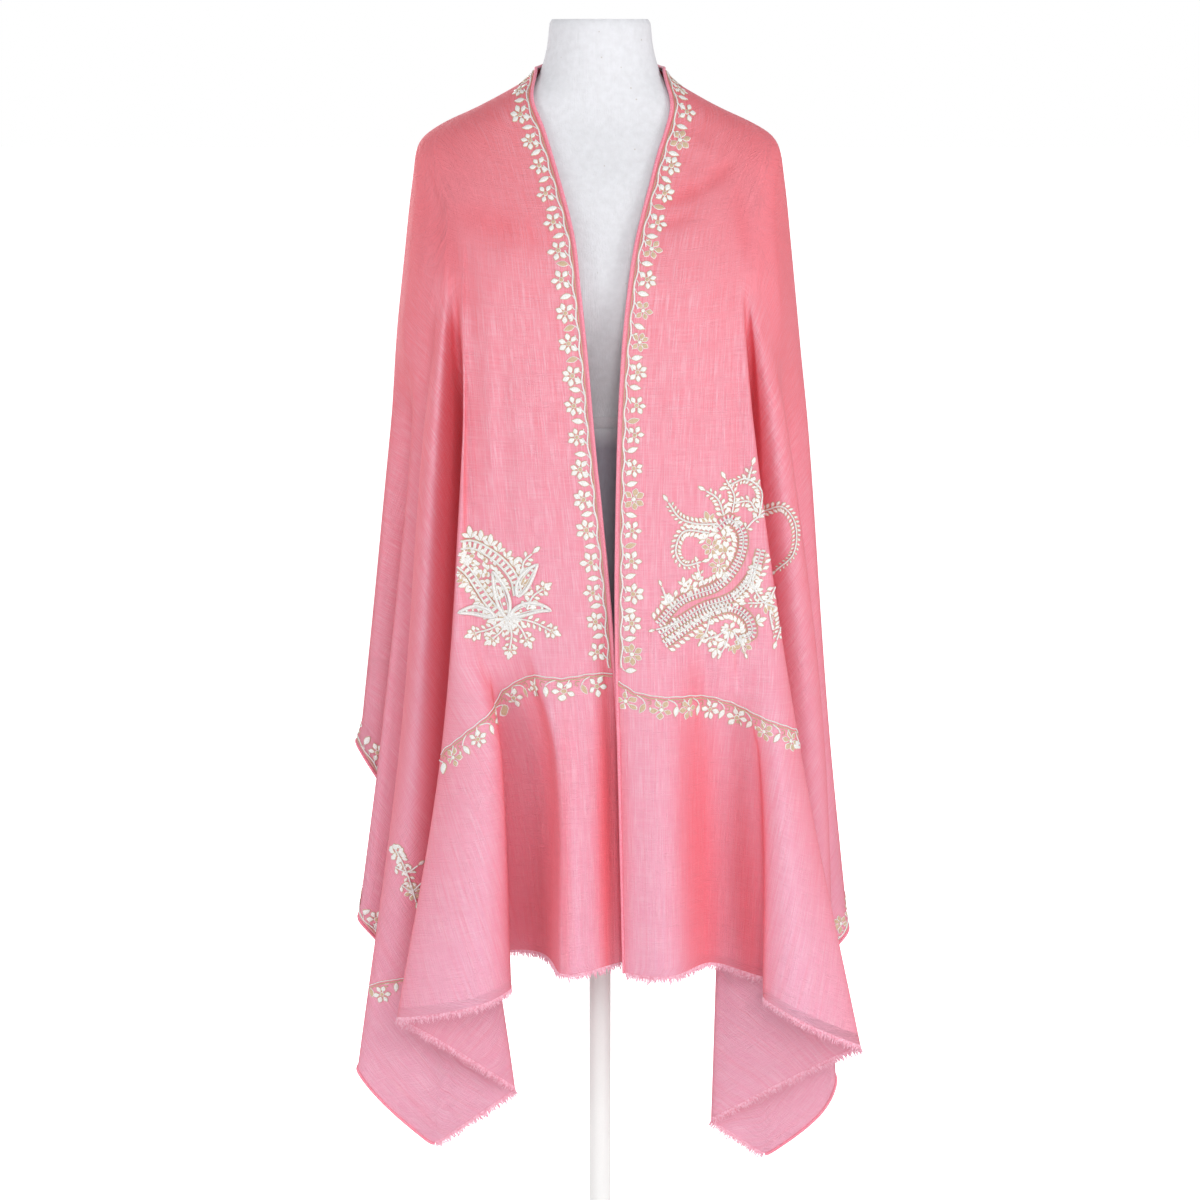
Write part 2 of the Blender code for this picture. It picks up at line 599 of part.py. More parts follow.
def stand(parent):
    base_top = BASE_HEIGHT + 0.006
    turned("form_base", [(0, 0), (BASE_RADIUS - BASE_EDGE, 0), (BASE_RADIUS, BASE_EDGE),
                         (BASE_RADIUS, BASE_HEIGHT - BASE_EDGE), (BASE_RADIUS - BASE_EDGE, BASE_HEIGHT),
                         (COLLAR_RADIUS, base_top), (0, base_top)], "stand", parent)
    pole_low = base_top + SEAM_GAP
    collar_low = FORM[-1].z - COLLAR_HEIGHT
    pole_high = collar_low - SEAM_GAP
    turned("form_pole", [(0, pole_low), (POLE_RADIUS, pole_low), (POLE_RADIUS, pole_high),
                         (0, pole_high)], "stand", parent, segments=20)
    collar_high = FORM[-1].z - SEAM_GAP
    turned("form_collar", [(0, collar_low), (POLE_RADIUS + 0.004, collar_low),
                           (COLLAR_RADIUS, collar_low + 0.012), (COLLAR_RADIUS, collar_high),
                           (0, collar_high)], "stand", parent, segments=24)


POINTS, NORMALS = cloth_grid()


def main():
    for old in list(bpy.data.objects):
        bpy.data.objects.remove(old)
    whole = bpy.data.objects.new("shawl_on_form", None)
    bpy.context.collection.objects.link(whole)

    seams = [CURVE_START, span_of(-1, SIDE_SEAM), span_of(-1, BACK_SEAM), span_of(1, BACK_SEAM),
             span_of(1, SIDE_SEAM), CURVE_END]
    columns = [column_of(seam) for seam in seams]
    names = ["shawl_left_front", "shawl_left_side", "shawl_back", "shawl_right_side", "shawl_right_front"]
    for i, name in enumerate(names):
        cloth_piece(name, columns[i], columns[i + 1], (i > 0, i < len(names) - 1), whole)
    neck_and_front_hem(whole)
    lower_hem(whole)
    fringe("left_fringe", 0, column_of(span_of(-1, "tail_corner")), 4, whole)
    fringe("right_fringe", column_of(span_of(1, "tail_corner")), columns[-1], 7, whole)
    dress_form(whole)
    waist_tape(whole)
    stand(whole)


main()
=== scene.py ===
import math
from collections import namedtuple

import bmesh
import bpy
import numpy as np
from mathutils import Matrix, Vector
from mathutils.bvhtree import BVHTree


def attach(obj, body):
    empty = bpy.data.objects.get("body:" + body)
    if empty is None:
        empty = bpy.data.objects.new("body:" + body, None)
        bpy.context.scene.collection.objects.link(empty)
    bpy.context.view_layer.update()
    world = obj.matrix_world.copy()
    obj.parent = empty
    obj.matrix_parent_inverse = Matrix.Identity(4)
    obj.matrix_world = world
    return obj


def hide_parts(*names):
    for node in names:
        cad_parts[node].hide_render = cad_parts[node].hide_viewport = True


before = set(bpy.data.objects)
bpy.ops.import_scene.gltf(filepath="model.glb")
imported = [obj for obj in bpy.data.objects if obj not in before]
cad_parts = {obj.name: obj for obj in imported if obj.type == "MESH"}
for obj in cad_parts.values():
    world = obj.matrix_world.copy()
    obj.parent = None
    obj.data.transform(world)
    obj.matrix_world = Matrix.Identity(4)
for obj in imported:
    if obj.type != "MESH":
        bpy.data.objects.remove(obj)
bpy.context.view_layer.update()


def feed(tree, node, inputs):  # plain values are set, and sockets are linked
    for key, value in inputs.items():
        if isinstance(value, bpy.types.NodeSocket):
            tree.links.new(value, node.inputs[key])
        else:
            node.inputs[key].default_value = value


def add(tree, kind, inputs=None, **settings):
    node = tree.nodes.new(kind)
    for key, value in settings.items():
        setattr(node, key, value)
    feed(tree, node, inputs or {})
    return node


def newMaterial(name):
    made = bpy.data.materials.new(name)
    made.use_nodes = True
    return made, made.node_tree, made.node_tree.nodes["Principled BSDF"]


def remap(tree, value, fromLow, fromHigh, toLow, toHigh):
    return add(tree, "ShaderNodeMapRange", {"Value": value, "From Min": fromLow, "From Max": fromHigh,
                                            "To Min": toLow, "To Max": toHigh}).outputs["Result"]


def meshFrom(name, shape):
    mesh = bpy.data.meshes.new(name)
    shape.to_mesh(mesh)
    shape.free()
    mesh.shade_smooth()
    return mesh


print("stage: studio")
studio = {
    "cameraPlace": (0, -3.0, 1.48),
    "cameraTilt": 79.6,  # degrees up from looking straight down
    "lens": 91.5,
    "floorHalf": 40,
    "floorDrop": 0.0005,
    "floorColor": (0.8, 0.8, 0.8, 1),
    "floorGlow": (0.02, 0.95),  # for other rays, and for the camera
    "worldLight": (0.465, 1.0),
    "softboxes": {  # place, size and power of each, all aimed at the chest
        "frontSoftbox": ((0.35, -3.3, 2.0), 1.2, 38),
        "leftSoftbox": ((-2.6, -1.6, 1.2), 1.4, 27),
        "rightSoftbox": ((2.6, -1.6, 1.35), 1.4, 39),
        "backSoftbox": ((-1.4, 2.8, 1.7), 2.0, 60),
    },
    "chest": (0, 0, 1.0),
}


def cameraShare(tree, low, high):  # low for the light, high for what the camera sees
    rays = add(tree, "ShaderNodeLightPath")
    return remap(tree, rays.outputs["Is Camera Ray"], 0.0, 1.0, low, high)


def makeStudio():
    scene = bpy.context.scene
    scene.view_settings.view_transform = "Standard"
    camera = bpy.data.objects.new("camera", bpy.data.cameras.new("camera"))
    camera.location = studio["cameraPlace"]
    camera.rotation_euler = (math.radians(studio["cameraTilt"]), 0, 0)
    camera.data.lens = studio["lens"]
    camera.data.clip_end = 200
    scene.collection.objects.link(camera)
    scene.camera = camera
    scene.world = bpy.data.worlds.new("paleRoom")
    scene.world.use_nodes = True
    tree = scene.world.node_tree
    feed(tree, tree.nodes["Background"],
         {"Color": (1, 1, 1, 1), "Strength": cameraShare(tree, *studio["worldLight"])})
    shape = bmesh.new()
    bmesh.ops.create_grid(shape, x_segments=1, y_segments=1, size=studio["floorHalf"])
    mesh = meshFrom("floor", shape)
    floor = bpy.data.objects.new("floor", mesh)
    floor.location.z = -studio["floorDrop"]
    scene.collection.objects.link(floor)
    pale, tree, shader = newMaterial("paleFloor")
    feed(tree, shader, {"Base Color": studio["floorColor"], "Roughness": 0.9, "Emission Color": (1, 1, 1, 1),
                        "Emission Strength": cameraShare(tree, *studio["floorGlow"])})
    mesh.materials.append(pale)
    for name, (place, size, power) in studio["softboxes"].items():
        light = bpy.data.lights.new(name, "AREA")
        light.size = size
        light.energy = power
        lamp = bpy.data.objects.new(name, light)
        lamp.location = place
        lamp.rotation_euler = (Vector(studio["chest"]) - Vector(place)).to_track_quat("-Z", "Y").to_euler()
        scene.collection.objects.link(lamp)


makeStudio()


print("stage: fold lines")
shawl = {
    "width": 0.7,
    "length": 2.0,
    "stepsPerSpan": 8,
    "rowsAbove": 100,  # rows from the neck to the hip
    "rowsBelow": 87,
    "hipLevel": 0.86,
    "waistZ": 1.1,
    "hipZ": 0.8,
    "wrapPower": 0.8,
    "formClearance": 0.005,
    "evenUntil": 0.36,
    "evenFrontShare": 0.175,
    "leftHemZ": 0.594,
    "rightHemZ": 0.588,
    "smoothPasses": 3,
}


Section = namedtuple("Section", "drop frontZ sideZ backZ halfLeft halfRight sideY backY")
wrapRows = [Section(*row) for row in (
    (0.0, 1.452, 1.453, 1.464, 0.0608, 0.0602, 0.01, 0.06),
    (0.04, 1.44, 1.441, 1.455, 0.074, 0.072, 0.012, 0.0685),
    (0.08, 1.425, 1.43, 1.443, 0.093, 0.09, 0.014, 0.0758),
    (0.13, 1.405, 1.415, 1.426, 0.122, 0.118, 0.016, 0.083),
    (0.19, 1.38, 1.4, 1.402, 0.155, 0.151, 0.018, 0.09),
    (0.25, 1.35, 1.382, 1.37, 0.177, 0.175, 0.018, 0.096),
    (0.32, 1.31, 1.348, 1.33, 0.1835, 0.181, 0.018, 0.1),
    (0.42, 1.25, 1.28, 1.265, 0.192, 0.189, 0.022, 0.103),
    (0.55, 1.17, 1.18, 1.18, 0.2035, 0.2, 0.03, 0.104),
    (0.7, 1.08, 1.08, 1.08, 0.2105, 0.211, 0.036, 0.105),
    (0.85, 0.97, 0.97, 0.97, 0.221, 0.2205, 0.044, 0.106),
    (1.0, 0.86, 0.86, 0.86, 0.236, 0.229, 0.048, 0.108),
)]

EdgePoint = namedtuple("EdgePoint", "z left leftY right rightY")
frontEdge = [EdgePoint(*row) for row in (
    (1.452, 0.0598, -0.008, 0.059, -0.008),
    (1.437, 0.059, -0.026, 0.059, -0.026),
    (1.406, 0.052, -0.047, 0.056, -0.046),
    (1.374, 0.045, -0.067, 0.0475, -0.066),
    (1.346, 0.038, -0.084, 0.0412, -0.083),
    (1.318, 0.031, -0.1, 0.035, -0.099),
    (1.295, 0.0255, -0.112, 0.0292, -0.111),
    (1.253, 0.0208, -0.126, 0.022, -0.126),
    (1.187, 0.014, -0.131, 0.015, -0.132),
    (1.1, 0.0065, -0.132, 0.0104, -0.135),
    (0.946, -0.0086, -0.131, 0.0078, -0.139),
    (0.8, -0.0172, -0.13, 0.0118, -0.141),
    (0.59, -0.022, -0.134, 0.017, -0.146),
)]

Fold = namedtuple("Fold", "name place startZ tip waist hip hem hemZ")
leftFolds = [Fold(*row) for row in (
    ("ridge", 0.11, 0.93, 0, None, (0.026, -0.152), (0.024, -0.167), 0.59),
    ("ridgeEdge", 0.165, 0.92, 0.007, None, (0.0415, -0.149), (0.0395, -0.16), 0.59),
    ("valleyWall", 0.19, 0.92, 0, None, (0.05, -0.116), (0.049, -0.112), 0.594),
    ("valley", 0.22, 0.92, 0, None, (0.074, -0.103), (0.07, -0.082), 0.591),
    ("valleyTurn", 0.26, 0.905, 0.01, None, (0.099, -0.106), (0.101, -0.08), 0.588),
    ("flareEdge", 0.29, 0.905, 0.012, None, (0.095, -0.13), (0.086, -0.128), 0.565),
    ("flareCrest", 0.32, 0.93, 0, None, (0.11, -0.147), (0.114, -0.162), 0.557),
    ("flareSlope", 0.35, 1.0, 0, None, (0.138, -0.137), (0.168, -0.147), 0.543),
    ("flareFold", 0.385, 1.255, 0.01, (0.1305, -0.118), (0.155, -0.116), (0.202, -0.12), 0.533),
    ("innerSlope", 0.41, 1.25, 0, (0.1285, -0.09), (0.142, -0.08), (0.143, -0.074), 0.484),
    ("innerFold", 0.43, 1.25, 0.01, (0.1285, -0.058), (0.13, -0.05), (0.083, -0.044), 0.432),
    ("tailCorner", 0.45, 1.25, 0.002, (0.142, -0.078), (0.152, -0.05), (0.169, -0.038), 0.371),
    ("tailBend", 0.465, 1.25, 0, (0.158, -0.106), (0.183, -0.078), (0.224, -0.032), 0.415),
    ("tailFold", 0.485, 1.25, 0.012, (0.1715, -0.078), (0.199, -0.04), (0.248, -0.028), 0.453),
    ("tailReturn", 0.54, 1.24, 0.012, (0.164, -0.046), (0.164, -0.002), (0.178, 0.004), 0.52),
    ("secondFold", 0.65, 1.23, 0.012, (0.185, -0.022), (0.222, 0.012), (0.25, 0.016), 0.597),
    ("secondReturn", 0.78, 1.2, 0.012, (0.184, 0.006), (0.18, 0.036), (0.19, 0.042), 0.675),
    ("sideFold", 1.0, 1.17, 0.016, (0.2095, 0.03), (0.245, 0.052), (0.252, 0.056), 0.774),
    ("backSide", 1.18, 1.05, 0, None, (0.22, 0.086), (0.224, 0.094), 0.777),
    ("backDip1", 1.33, 1.05, 0, None, (0.18, 0.096), (0.182, 0.093), 0.78),
    ("backPleat1", 1.48, 1.1, 0, None, (0.14, 0.12), (0.142, 0.128), 0.776),
    ("backDip2", 1.63, 1.08, 0, None, (0.098, 0.104), (0.098, 0.1), 0.781),
    ("backPleat2", 1.8, 1.12, 0, None, (0.052, 0.122), (0.053, 0.13), 0.776),
)]
centreBack = Fold("centreBack", 2.0, 1.05, 0, None, (0.0, 0.106), (0.0, 0.103), 0.781)
rightFolds = [Fold(*row) for row in (
    ("ridge", 0.11, 0.97, 0, None, (0.055, -0.156), (0.058, -0.17), 0.587),
    ("slope", 0.17, 0.93, 0, None, (0.08, -0.151), (0.083, -0.16), 0.59),
    ("crease", 0.21, 0.91, 0, None, (0.101, -0.123), (0.104, -0.119), 0.59),
    ("swell", 0.25, 0.9, 0, None, (0.119, -0.115), (0.124, -0.108), 0.583),
    ("valley", 0.28, 0.9, 0, None, (0.136, -0.113), (0.146, -0.101), 0.572),
    ("valleyTurn", 0.31, 0.88, 0.01, None, (0.15, -0.118), (0.166, -0.099), 0.566),
    ("flareEdge", 0.33, 0.88, 0.012, None, (0.157, -0.129), (0.159, -0.134), 0.557),
    ("flareCrest", 0.355, 0.93, 0, None, (0.171, -0.139), (0.19, -0.157), 0.543),
    ("flareSlope", 0.38, 1.05, 0, None, (0.184, -0.132), (0.228, -0.145), 0.522),
    ("flareFold", 0.41, 1.245, 0.01, (0.1485, -0.111), (0.196, -0.108), (0.259, -0.12), 0.504),
    ("innerSlope", 0.425, 1.24, 0, (0.143, -0.088), (0.161, -0.072), (0.188, -0.07), 0.452),
    ("innerFold", 0.44, 1.24, 0.01, (0.142, -0.056), (0.122, -0.05), (0.11, -0.044), 0.4),
    ("tailCorner", 0.46, 1.24, 0.002, (0.155, -0.08), (0.17, -0.048), (0.168, -0.038), 0.36),
    ("tailBend", 0.48, 1.24, 0, (0.17, -0.091), (0.208, -0.064), (0.232, -0.032), 0.402),
    ("tailFold", 0.51, 1.24, 0.012, (0.1835, -0.071), (0.224, -0.036), (0.24, -0.026), 0.445),
    ("tailReturn", 0.66, 1.22, 0.012, (0.179, -0.02), (0.184, 0.01), (0.19, 0.016), 0.5),
    ("sideFold", 1.0, 1.17, 0.016, (0.2085, 0.03), (0.2345, 0.05), (0.259, 0.056), 0.57),
    ("backSide", 1.18, 1.05, 0, None, (0.218, 0.084), (0.234, 0.094), 0.64),
    ("backDip1", 1.33, 1.05, 0, None, (0.182, 0.096), (0.188, 0.093), 0.7),
    ("backPleat1", 1.48, 1.1, 0, None, (0.142, 0.12), (0.145, 0.128), 0.742),
    ("backDip2", 1.63, 1.08, 0, None, (0.099, 0.104), (0.1, 0.1), 0.766),
    ("backPleat2", 1.8, 1.12, 0, None, (0.052, 0.122), (0.053, 0.13), 0.776),
)]

Ring = namedtuple("Ring", "z half front back")
formRings = [Ring(*row) for row in (
    (1.5, 0.0465, 0.045, 0.045),
    (1.496, 0.0488, 0.047, 0.047),
    (1.475, 0.0512, 0.048, 0.049),
    (1.456, 0.056, 0.0485, 0.053),
    (1.443, 0.062, 0.049, 0.056),
    (1.43, 0.079, 0.05, 0.06),
    (1.415, 0.107, 0.052, 0.066),
    (1.4, 0.136, 0.056, 0.072),
    (1.387, 0.157, 0.062, 0.0765),
    (1.37, 0.169, 0.07, 0.0805),
    (1.345, 0.173, 0.083, 0.085),
    (1.3, 0.172, 0.101, 0.089),
    (1.255, 0.164, 0.114, 0.091),
    (1.2, 0.146, 0.108, 0.087),
    (1.12, 0.12, 0.087, 0.066),
    (1.06, 0.127, 0.088, 0.077),
    (0.96, 0.143, 0.093, 0.093),
    (0.88, 0.14, 0.088, 0.093),
    (0.8, 0.124, 0.076, 0.084),
)]

form = {
    "power": 0.9,
    "sides": 96,
    "ringStep": 0.006,
    "tapeHeights": (1.1135, 1.1245),
    "tapeWall": 0.0012,
    "tapeGap": 0.0006,
}


def smoothBetween(knots, at):  # a value on a smooth curve through knots of (place, value)
    places = [place for place, _ in knots]
    values = [np.asarray(value, float) for _, value in knots]
    if places[0] > places[-1]:
        places, values = places[::-1], values[::-1]
    at = min(max(at, places[0]), places[-1])
    i = min(int(np.searchsorted(places, at, side="right")) - 1, len(places) - 2)

    def slope(k):
        low, high = max(k - 1, 0), min(k + 1, len(places) - 1)
        return (values[high] - values[low]) / (places[high] - places[low])

    width = places[i + 1] - places[i]
    t = (at - places[i]) / width
    return ((2 * t**3 - 3 * t**2 + 1) * values[i] + (t**3 - 2 * t**2 + t) * slope(i) * width
            + (3 * t**2 - 2 * t**3) * values[i + 1] + (t**3 - t**2) * slope(i + 1) * width)


def ease(t):
    t = min(max(t, 0.0), 1.0)
    return t * t * (3 - 2 * t)


wrapKnots = [(row.drop, row[1:]) for row in wrapRows]
edgeKnots = [(row.z, row[1:]) for row in frontEdge]
formKnots = [(row.z, row[1:]) for row in formRings]


def frontEdgeAt(side, z):
    left, leftY, right, rightY = smoothBetween(edgeKnots, z)
    return (left, leftY) if side < 0 else (right, rightY)


def wrapPoint(side, place, drop):  # side is -1 on the left and 1 on the right
    row = Section(drop, *smoothBetween(wrapKnots, drop))
    half = row.halfLeft if side < 0 else row.halfRight
    if place <= 1:
        z = row.frontZ + (row.sideZ - row.frontZ) * ease(place)
        out, y = frontEdgeAt(side, row.frontZ)
        turn = place * math.pi / 2
        out += (half - out) * math.sin(turn) ** shawl["wrapPower"]
        y = row.sideY - (row.sideY - y) * math.cos(turn) ** shawl["wrapPower"]
    else:
        z = row.sideZ + (row.backZ - row.sideZ) * ease(place - 1)
        turn = (place - 1) * math.pi / 2
        out = half * max(math.cos(turn), 0) ** shawl["wrapPower"]
        y = row.sideY + (row.backY - row.sideY) * math.sin(turn) ** shawl["wrapPower"]
    return np.array([side * out, y, z])


def dropAt(side, place, z):  # how far down the wrap a height is reached
    low, high = 0.0, 1.0
    for _ in range(24):
        middle = (low + high) / 2
        if wrapPoint(side, place, middle)[2] > z:
            low = middle
        else:
            high = middle
    return low


class FoldLine:  # one fold from the neck to the hem
    def __init__(self, side, fold, order, count):
        self.side, self.fold, self.name = side, fold, fold.name
        share, even = order / count, shawl["evenFrontShare"]
        self.neckPlace = share / even if share < even else 1 + (share - even) / (1 - even)
        self.knots = [(z, (side * pair[0], pair[1])) for z, pair in (
            (fold.hemZ, fold.hem), (shawl["hipZ"], fold.hip), (shawl["waistZ"], fold.waist)) if pair]
        for z in (fold.startZ, fold.startZ + 0.045, fold.startZ + 0.09):
            self.knots.append((z, wrapPoint(side, fold.place, dropAt(side, fold.place, z))[:2]))

    def point(self, drop):
        if drop <= 1:
            place = self.neckPlace + (self.fold.place - self.neckPlace) * ease(drop / shawl["evenUntil"])
            onWrap = wrapPoint(self.side, place, drop)
            z = onWrap[2]
            if z >= self.fold.startZ:
                return onWrap
        else:
            z = shawl["hipLevel"] + (self.fold.hemZ - shawl["hipLevel"]) * (drop - 1)
        return np.array([*smoothBetween(self.knots, z), z])


class EdgeLine:  # the front edge, which each turn starts or ends at
    def __init__(self, side, hemZ):
        self.side, self.hemZ, self.name = side, hemZ, "edge"
        self.fold = Fold("edge", 0, 0, 0, None, None, None, hemZ)

    def point(self, drop):
        if drop <= 1:
            z = float(smoothBetween(wrapKnots, drop)[0])
        else:
            z = shawl["hipLevel"] + (self.hemZ - shawl["hipLevel"]) * (drop - 1)
        out, y = frontEdgeAt(self.side, z)
        return np.array([self.side * out, y, z])


lines = [EdgeLine(-1, shawl["leftHemZ"])]
lines += [FoldLine(-1, fold, i + 1, len(leftFolds) + 1) for i, fold in enumerate(leftFolds)]
lines += [FoldLine(1, centreBack, 1, 1)]
lines += [FoldLine(1, fold, i + 1, len(rightFolds) + 1) for i, fold in enumerate(rightFolds)][::-1]
lines += [EdgeLine(1, shawl["rightHemZ"])]


def turnControls(drop):  # two control points at each folded tip
    middles = [line.point(drop) for line in lines]
    controls = [middles[0]] * 3
    for i in range(1, len(middles) - 1):
        here, tip = middles[i], lines[i].fold.tip
        if not tip:
            controls.append(here)
            continue
        before, after = here - middles[i - 1], middles[i + 1] - here
        reach = min(np.linalg.norm(before), np.linalg.norm(after))
        along = before / np.linalg.norm(before) + after / np.linalg.norm(after)
        along[2] = 0
        along /= max(np.linalg.norm(along), 1e-9)
        half = min(tip / 2, 0.4 * reach)
        controls += [here - along * half, here + along * half]
    return np.array(controls + [middles[-1]] * 3)


def lineSpans():  # the curve's parameter at each fold line
    spans, at = [0.0], 2.0
    for line in lines[1:-1]:
        spans.append(at + (1.5 if line.fold.tip else 1.0))
        at += 2 if line.fold.tip else 1
    return [*spans, at + 2.0]


spans = lineSpans()
curveStart, curveEnd = 1.0, spans[-1] - 1


def turnWeights(places, count):  # what each control point gives to each place of a turn
    weights = np.zeros((len(places), count))
    for row, u in enumerate(places):
        i = min(int(u), count - 3)
        t = u - i
        weights[row, i - 1:i + 3] = ((1 - t)**3 / 6, (3 * t**3 - 6 * t**2 + 4) / 6,
                                     (-3 * t**3 + 3 * t**2 + 3 * t + 1) / 6, t**3 / 6)
    return weights


def columnOf(side, name):  # a fold line's column in the grid
    for line, span in zip(lines, spans):
        if line.name == name and (line.side == side or line.fold is centreBack):
            column = round((span - curveStart) * shawl["stepsPerSpan"])
            return min(max(column, 0), lastColumn)
    raise KeyError(name)


def stretchOf(side, first, last):  # the columns between two fold lines
    return sorted((columnOf(side, first), columnOf(side, last)))


def clearOfForm(points):  # moves points out to where they rest on the form
    heights = np.linspace(formRings[-1].z, formRings[0].z, 400)
    table = np.array([smoothBetween(formKnots, z) for z in heights])
    x, y, z = points[..., 0], points[..., 1], points[..., 2]
    half, front, back = (np.interp(z, heights, table[:, k]) for k in range(3))
    depth = np.where(y < 0, front, back)
    power = 2 / form["power"]
    share = (np.abs(x / half)**power + np.abs(y / depth)**power)**(1 / power)
    away = np.hypot(x, y)
    least = away / np.maximum(share, 1e-6) + shawl["formClearance"]
    wanted = (away + least + np.sqrt((away - least)**2 + 0.003**2)) / 2
    beside = (z <= formRings[0].z) & (z >= formRings[-1].z)
    factor = np.where(beside, wanted / np.maximum(away, 1e-9), 1.0)
    return points * np.stack([factor, factor, np.ones_like(factor)], axis=-1)


def unit(vectors):
    return vectors / np.maximum(np.linalg.norm(vectors, axis=-1, keepdims=True), 1e-12)


def gridNormals(points):
    return unit(np.cross(np.gradient(points, axis=1), np.gradient(points, axis=0)))


def lengthsAlong(points):  # how far along a run each of its points is
    return np.concatenate([[0], np.cumsum(np.linalg.norm(np.diff(points, axis=0), axis=1))])


def clothGrid():
    columns = int(round((curveEnd - curveStart) * shawl["stepsPerSpan"])) + 1
    places = np.linspace(curveStart, curveEnd, columns)
    above = np.linspace(0, 1, shawl["rowsAbove"], endpoint=False)
    drops = [*above, *np.linspace(1, 2, shawl["rowsBelow"])]
    turns = [turnControls(drop) for drop in drops]
    weights = turnWeights(places, len(turns[0]))
    points = clearOfForm(np.array([weights @ turn for turn in turns]))
    for _ in range(shawl["smoothPasses"]):
        points[1:-1] = (points[:-2] + 2 * points[1:-1] + points[2:]) / 4
    return points


grid = clothGrid()
lastRow, lastColumn = grid.shape[0] - 1, grid.shape[1] - 1
print("cloth grid", grid.shape)


print("stage: creases")
# Each crease sinks or lifts a strip of cloth; its shade is painted shade, the share of deep red painted along
# the strip.
Crease = namedtuple("Crease", "side first last start end width height shade", defaults=(0.0,))
creases = [Crease(*stretch, *row) for stretch, rows in (  # places as (x, z) seen from in front
    ((-1, "edge", "sideFold"), (
        ((-0.173, 1.37), (-0.134, 1.262), 0.011, -0.0032),
        ((-0.176, 1.34), (-0.158, 1.19), 0.013, 0.002),
        ((-0.145, 1.322), (-0.042, 1.292), 0.017, -0.0014, 0.28),
        ((-0.176, 1.345), (-0.12, 1.215), 0.013, -0.001, 0.24),
    )),
    ((-1, "edge", "flareFold"), (
        ((-0.128, 1.29), (-0.124, 1.2), 0.01, -0.0024),
        ((-0.124, 1.225), (-0.122, 1.03), 0.011, -0.0022),
        ((-0.105, 1.24), (-0.103, 1.06), 0.009, 0.0012),
        ((-0.094, 1.21), (-0.088, 0.985), 0.008, -0.0014),
        ((-0.056, 0.965), (-0.058, 0.868), 0.016, -0.0024),
        ((-0.07, 1.33), (-0.098, 1.245), 0.012, 0.0014),
        ((-0.04, 1.3), (-0.066, 1.225), 0.01, -0.001),
        ((-0.034, 0.86), (-0.033, 0.5), 0.007, -0.0006, 0.4),
    )),
    ((-1, "edge", "valley"), (
        ((-0.022, 1.08), (-0.016, 0.88), 0.01, 0.0012),
    )),
    ((-1, "edge", "ridge"), (
        ((0.003, 0.96), (0.01, 0.5), 0.01, -0.0008, 0.85),
    )),
    ((1, "edge", "ridge"), (
        ((0.009, 0.96), (0.017, 0.5), 0.011, -0.0012, 0.75),
    )),
    ((1, "edge", "flareFold"), (
        ((0.085, 0.9), (0.119, 0.47), 0.027, -0.0016, 0.54),
        ((0.132, 0.86), (0.154, 0.47), 0.015, -0.0012, 0.44),
        ((0.038, 1.298), (0.088, 1.24), 0.01, -0.001),
        ((0.072, 1.25), (0.067, 1.03), 0.015, 0.0014),
        ((0.112, 1.23), (0.106, 1.06), 0.01, -0.0012),
        ((0.1, 1.01), (0.102, 0.82), 0.011, -0.0026),
        ((0.126, 1.01), (0.118, 0.86), 0.011, 0.0014),
        ((0.04, 1.02), (0.046, 0.85), 0.013, 0.0012),
    )),
    ((1, "edge", "sideFold"), (
        ((0.056, 1.326), (0.108, 1.349), 0.008, -0.0032, 0.34),
        ((0.1, 1.344), (0.13, 1.368), 0.008, -0.0028, 0.22),
        ((0.05, 1.304), (0.092, 1.32), 0.007, -0.0024, 0.26),
        ((0.072, 1.392), (0.118, 1.368), 0.009, 0.0022),
        ((0.166, 1.385), (0.14, 1.245), 0.014, 0.0024),
        ((0.13, 1.35), (0.146, 1.262), 0.009, -0.002, 0.2),
    )),
    ((-1, "centreBack", "sideFold"), (
        ((-0.04, 1.34), (-0.055, 0.52), 0.016, 0.004),
        ((-0.074, 1.3), (-0.104, 0.52), 0.013, -0.003, 0.3),
        ((-0.1, 1.33), (-0.15, 0.52), 0.018, 0.0046),
        ((-0.134, 1.29), (-0.192, 0.52), 0.014, -0.0028, 0.28),
    )),
    ((1, "centreBack", "sideFold"), (
        ((0.036, 1.32), (0.056, 0.52), 0.015, 0.0044),
        ((0.068, 1.31), (0.1, 0.52), 0.014, -0.003, 0.26),
        ((0.094, 1.345), (0.146, 0.52), 0.017, 0.0042),
        ((0.128, 1.3), (0.188, 0.52), 0.015, -0.0026, 0.28),
    )),
) for row in rows]


def addCreases(points):  # soft troughs and ridges, each between two places of a stretch, and the painted shade along them
    normals = gridNormals(points)
    lift, shade = np.zeros(points.shape[:2]), np.zeros(points.shape[:2])
    for crease in creases:
        low, high = stretchOf(crease.side, crease.first, crease.last)
        stretch = slice(low, high + 1)
        place = points[:, stretch][..., (0, 2)]
        start, end = np.array(crease.start), np.array(crease.end)
        along = end - start
        t = np.clip(((place - start) @ along) / (along @ along), 0, 1)
        away = np.linalg.norm(place - start - t[..., None] * along, axis=-1)
        width = crease.width * (0.55 + 0.45 * np.sin(np.pi * np.clip(t, 0.02, 0.98)))
        fade = np.sin(np.pi * np.clip(t, 0.0, 1.0))**0.7
        near = fade * np.exp(-(away / width)**2)
        lift[:, stretch] += crease.height * near
        shade[:, stretch] += crease.shade * near
    return points + normals * lift[..., None], np.clip(shade, 0, 1)


# the painted crease shade is kept for the cloth's colour
grid, paintedCreaseShade = addCreases(grid)
normals = gridNormals(grid)


print("stage: cloth coordinates")
flat = {
    "picks": (3, 4),  # every so many rows and columns are settled, and the rest lie between
    "leastWeight": 0.02,
    "mostWeight": 50,
    "rounds": 900,
    "settled": 1e-12,
    "chest": (1.26, 1.42),
    "chestSlope": 0.3,  # how far the chest falls back for each metre up
    "frontY": -0.045,
    "hangsBelow": 1.3,
}


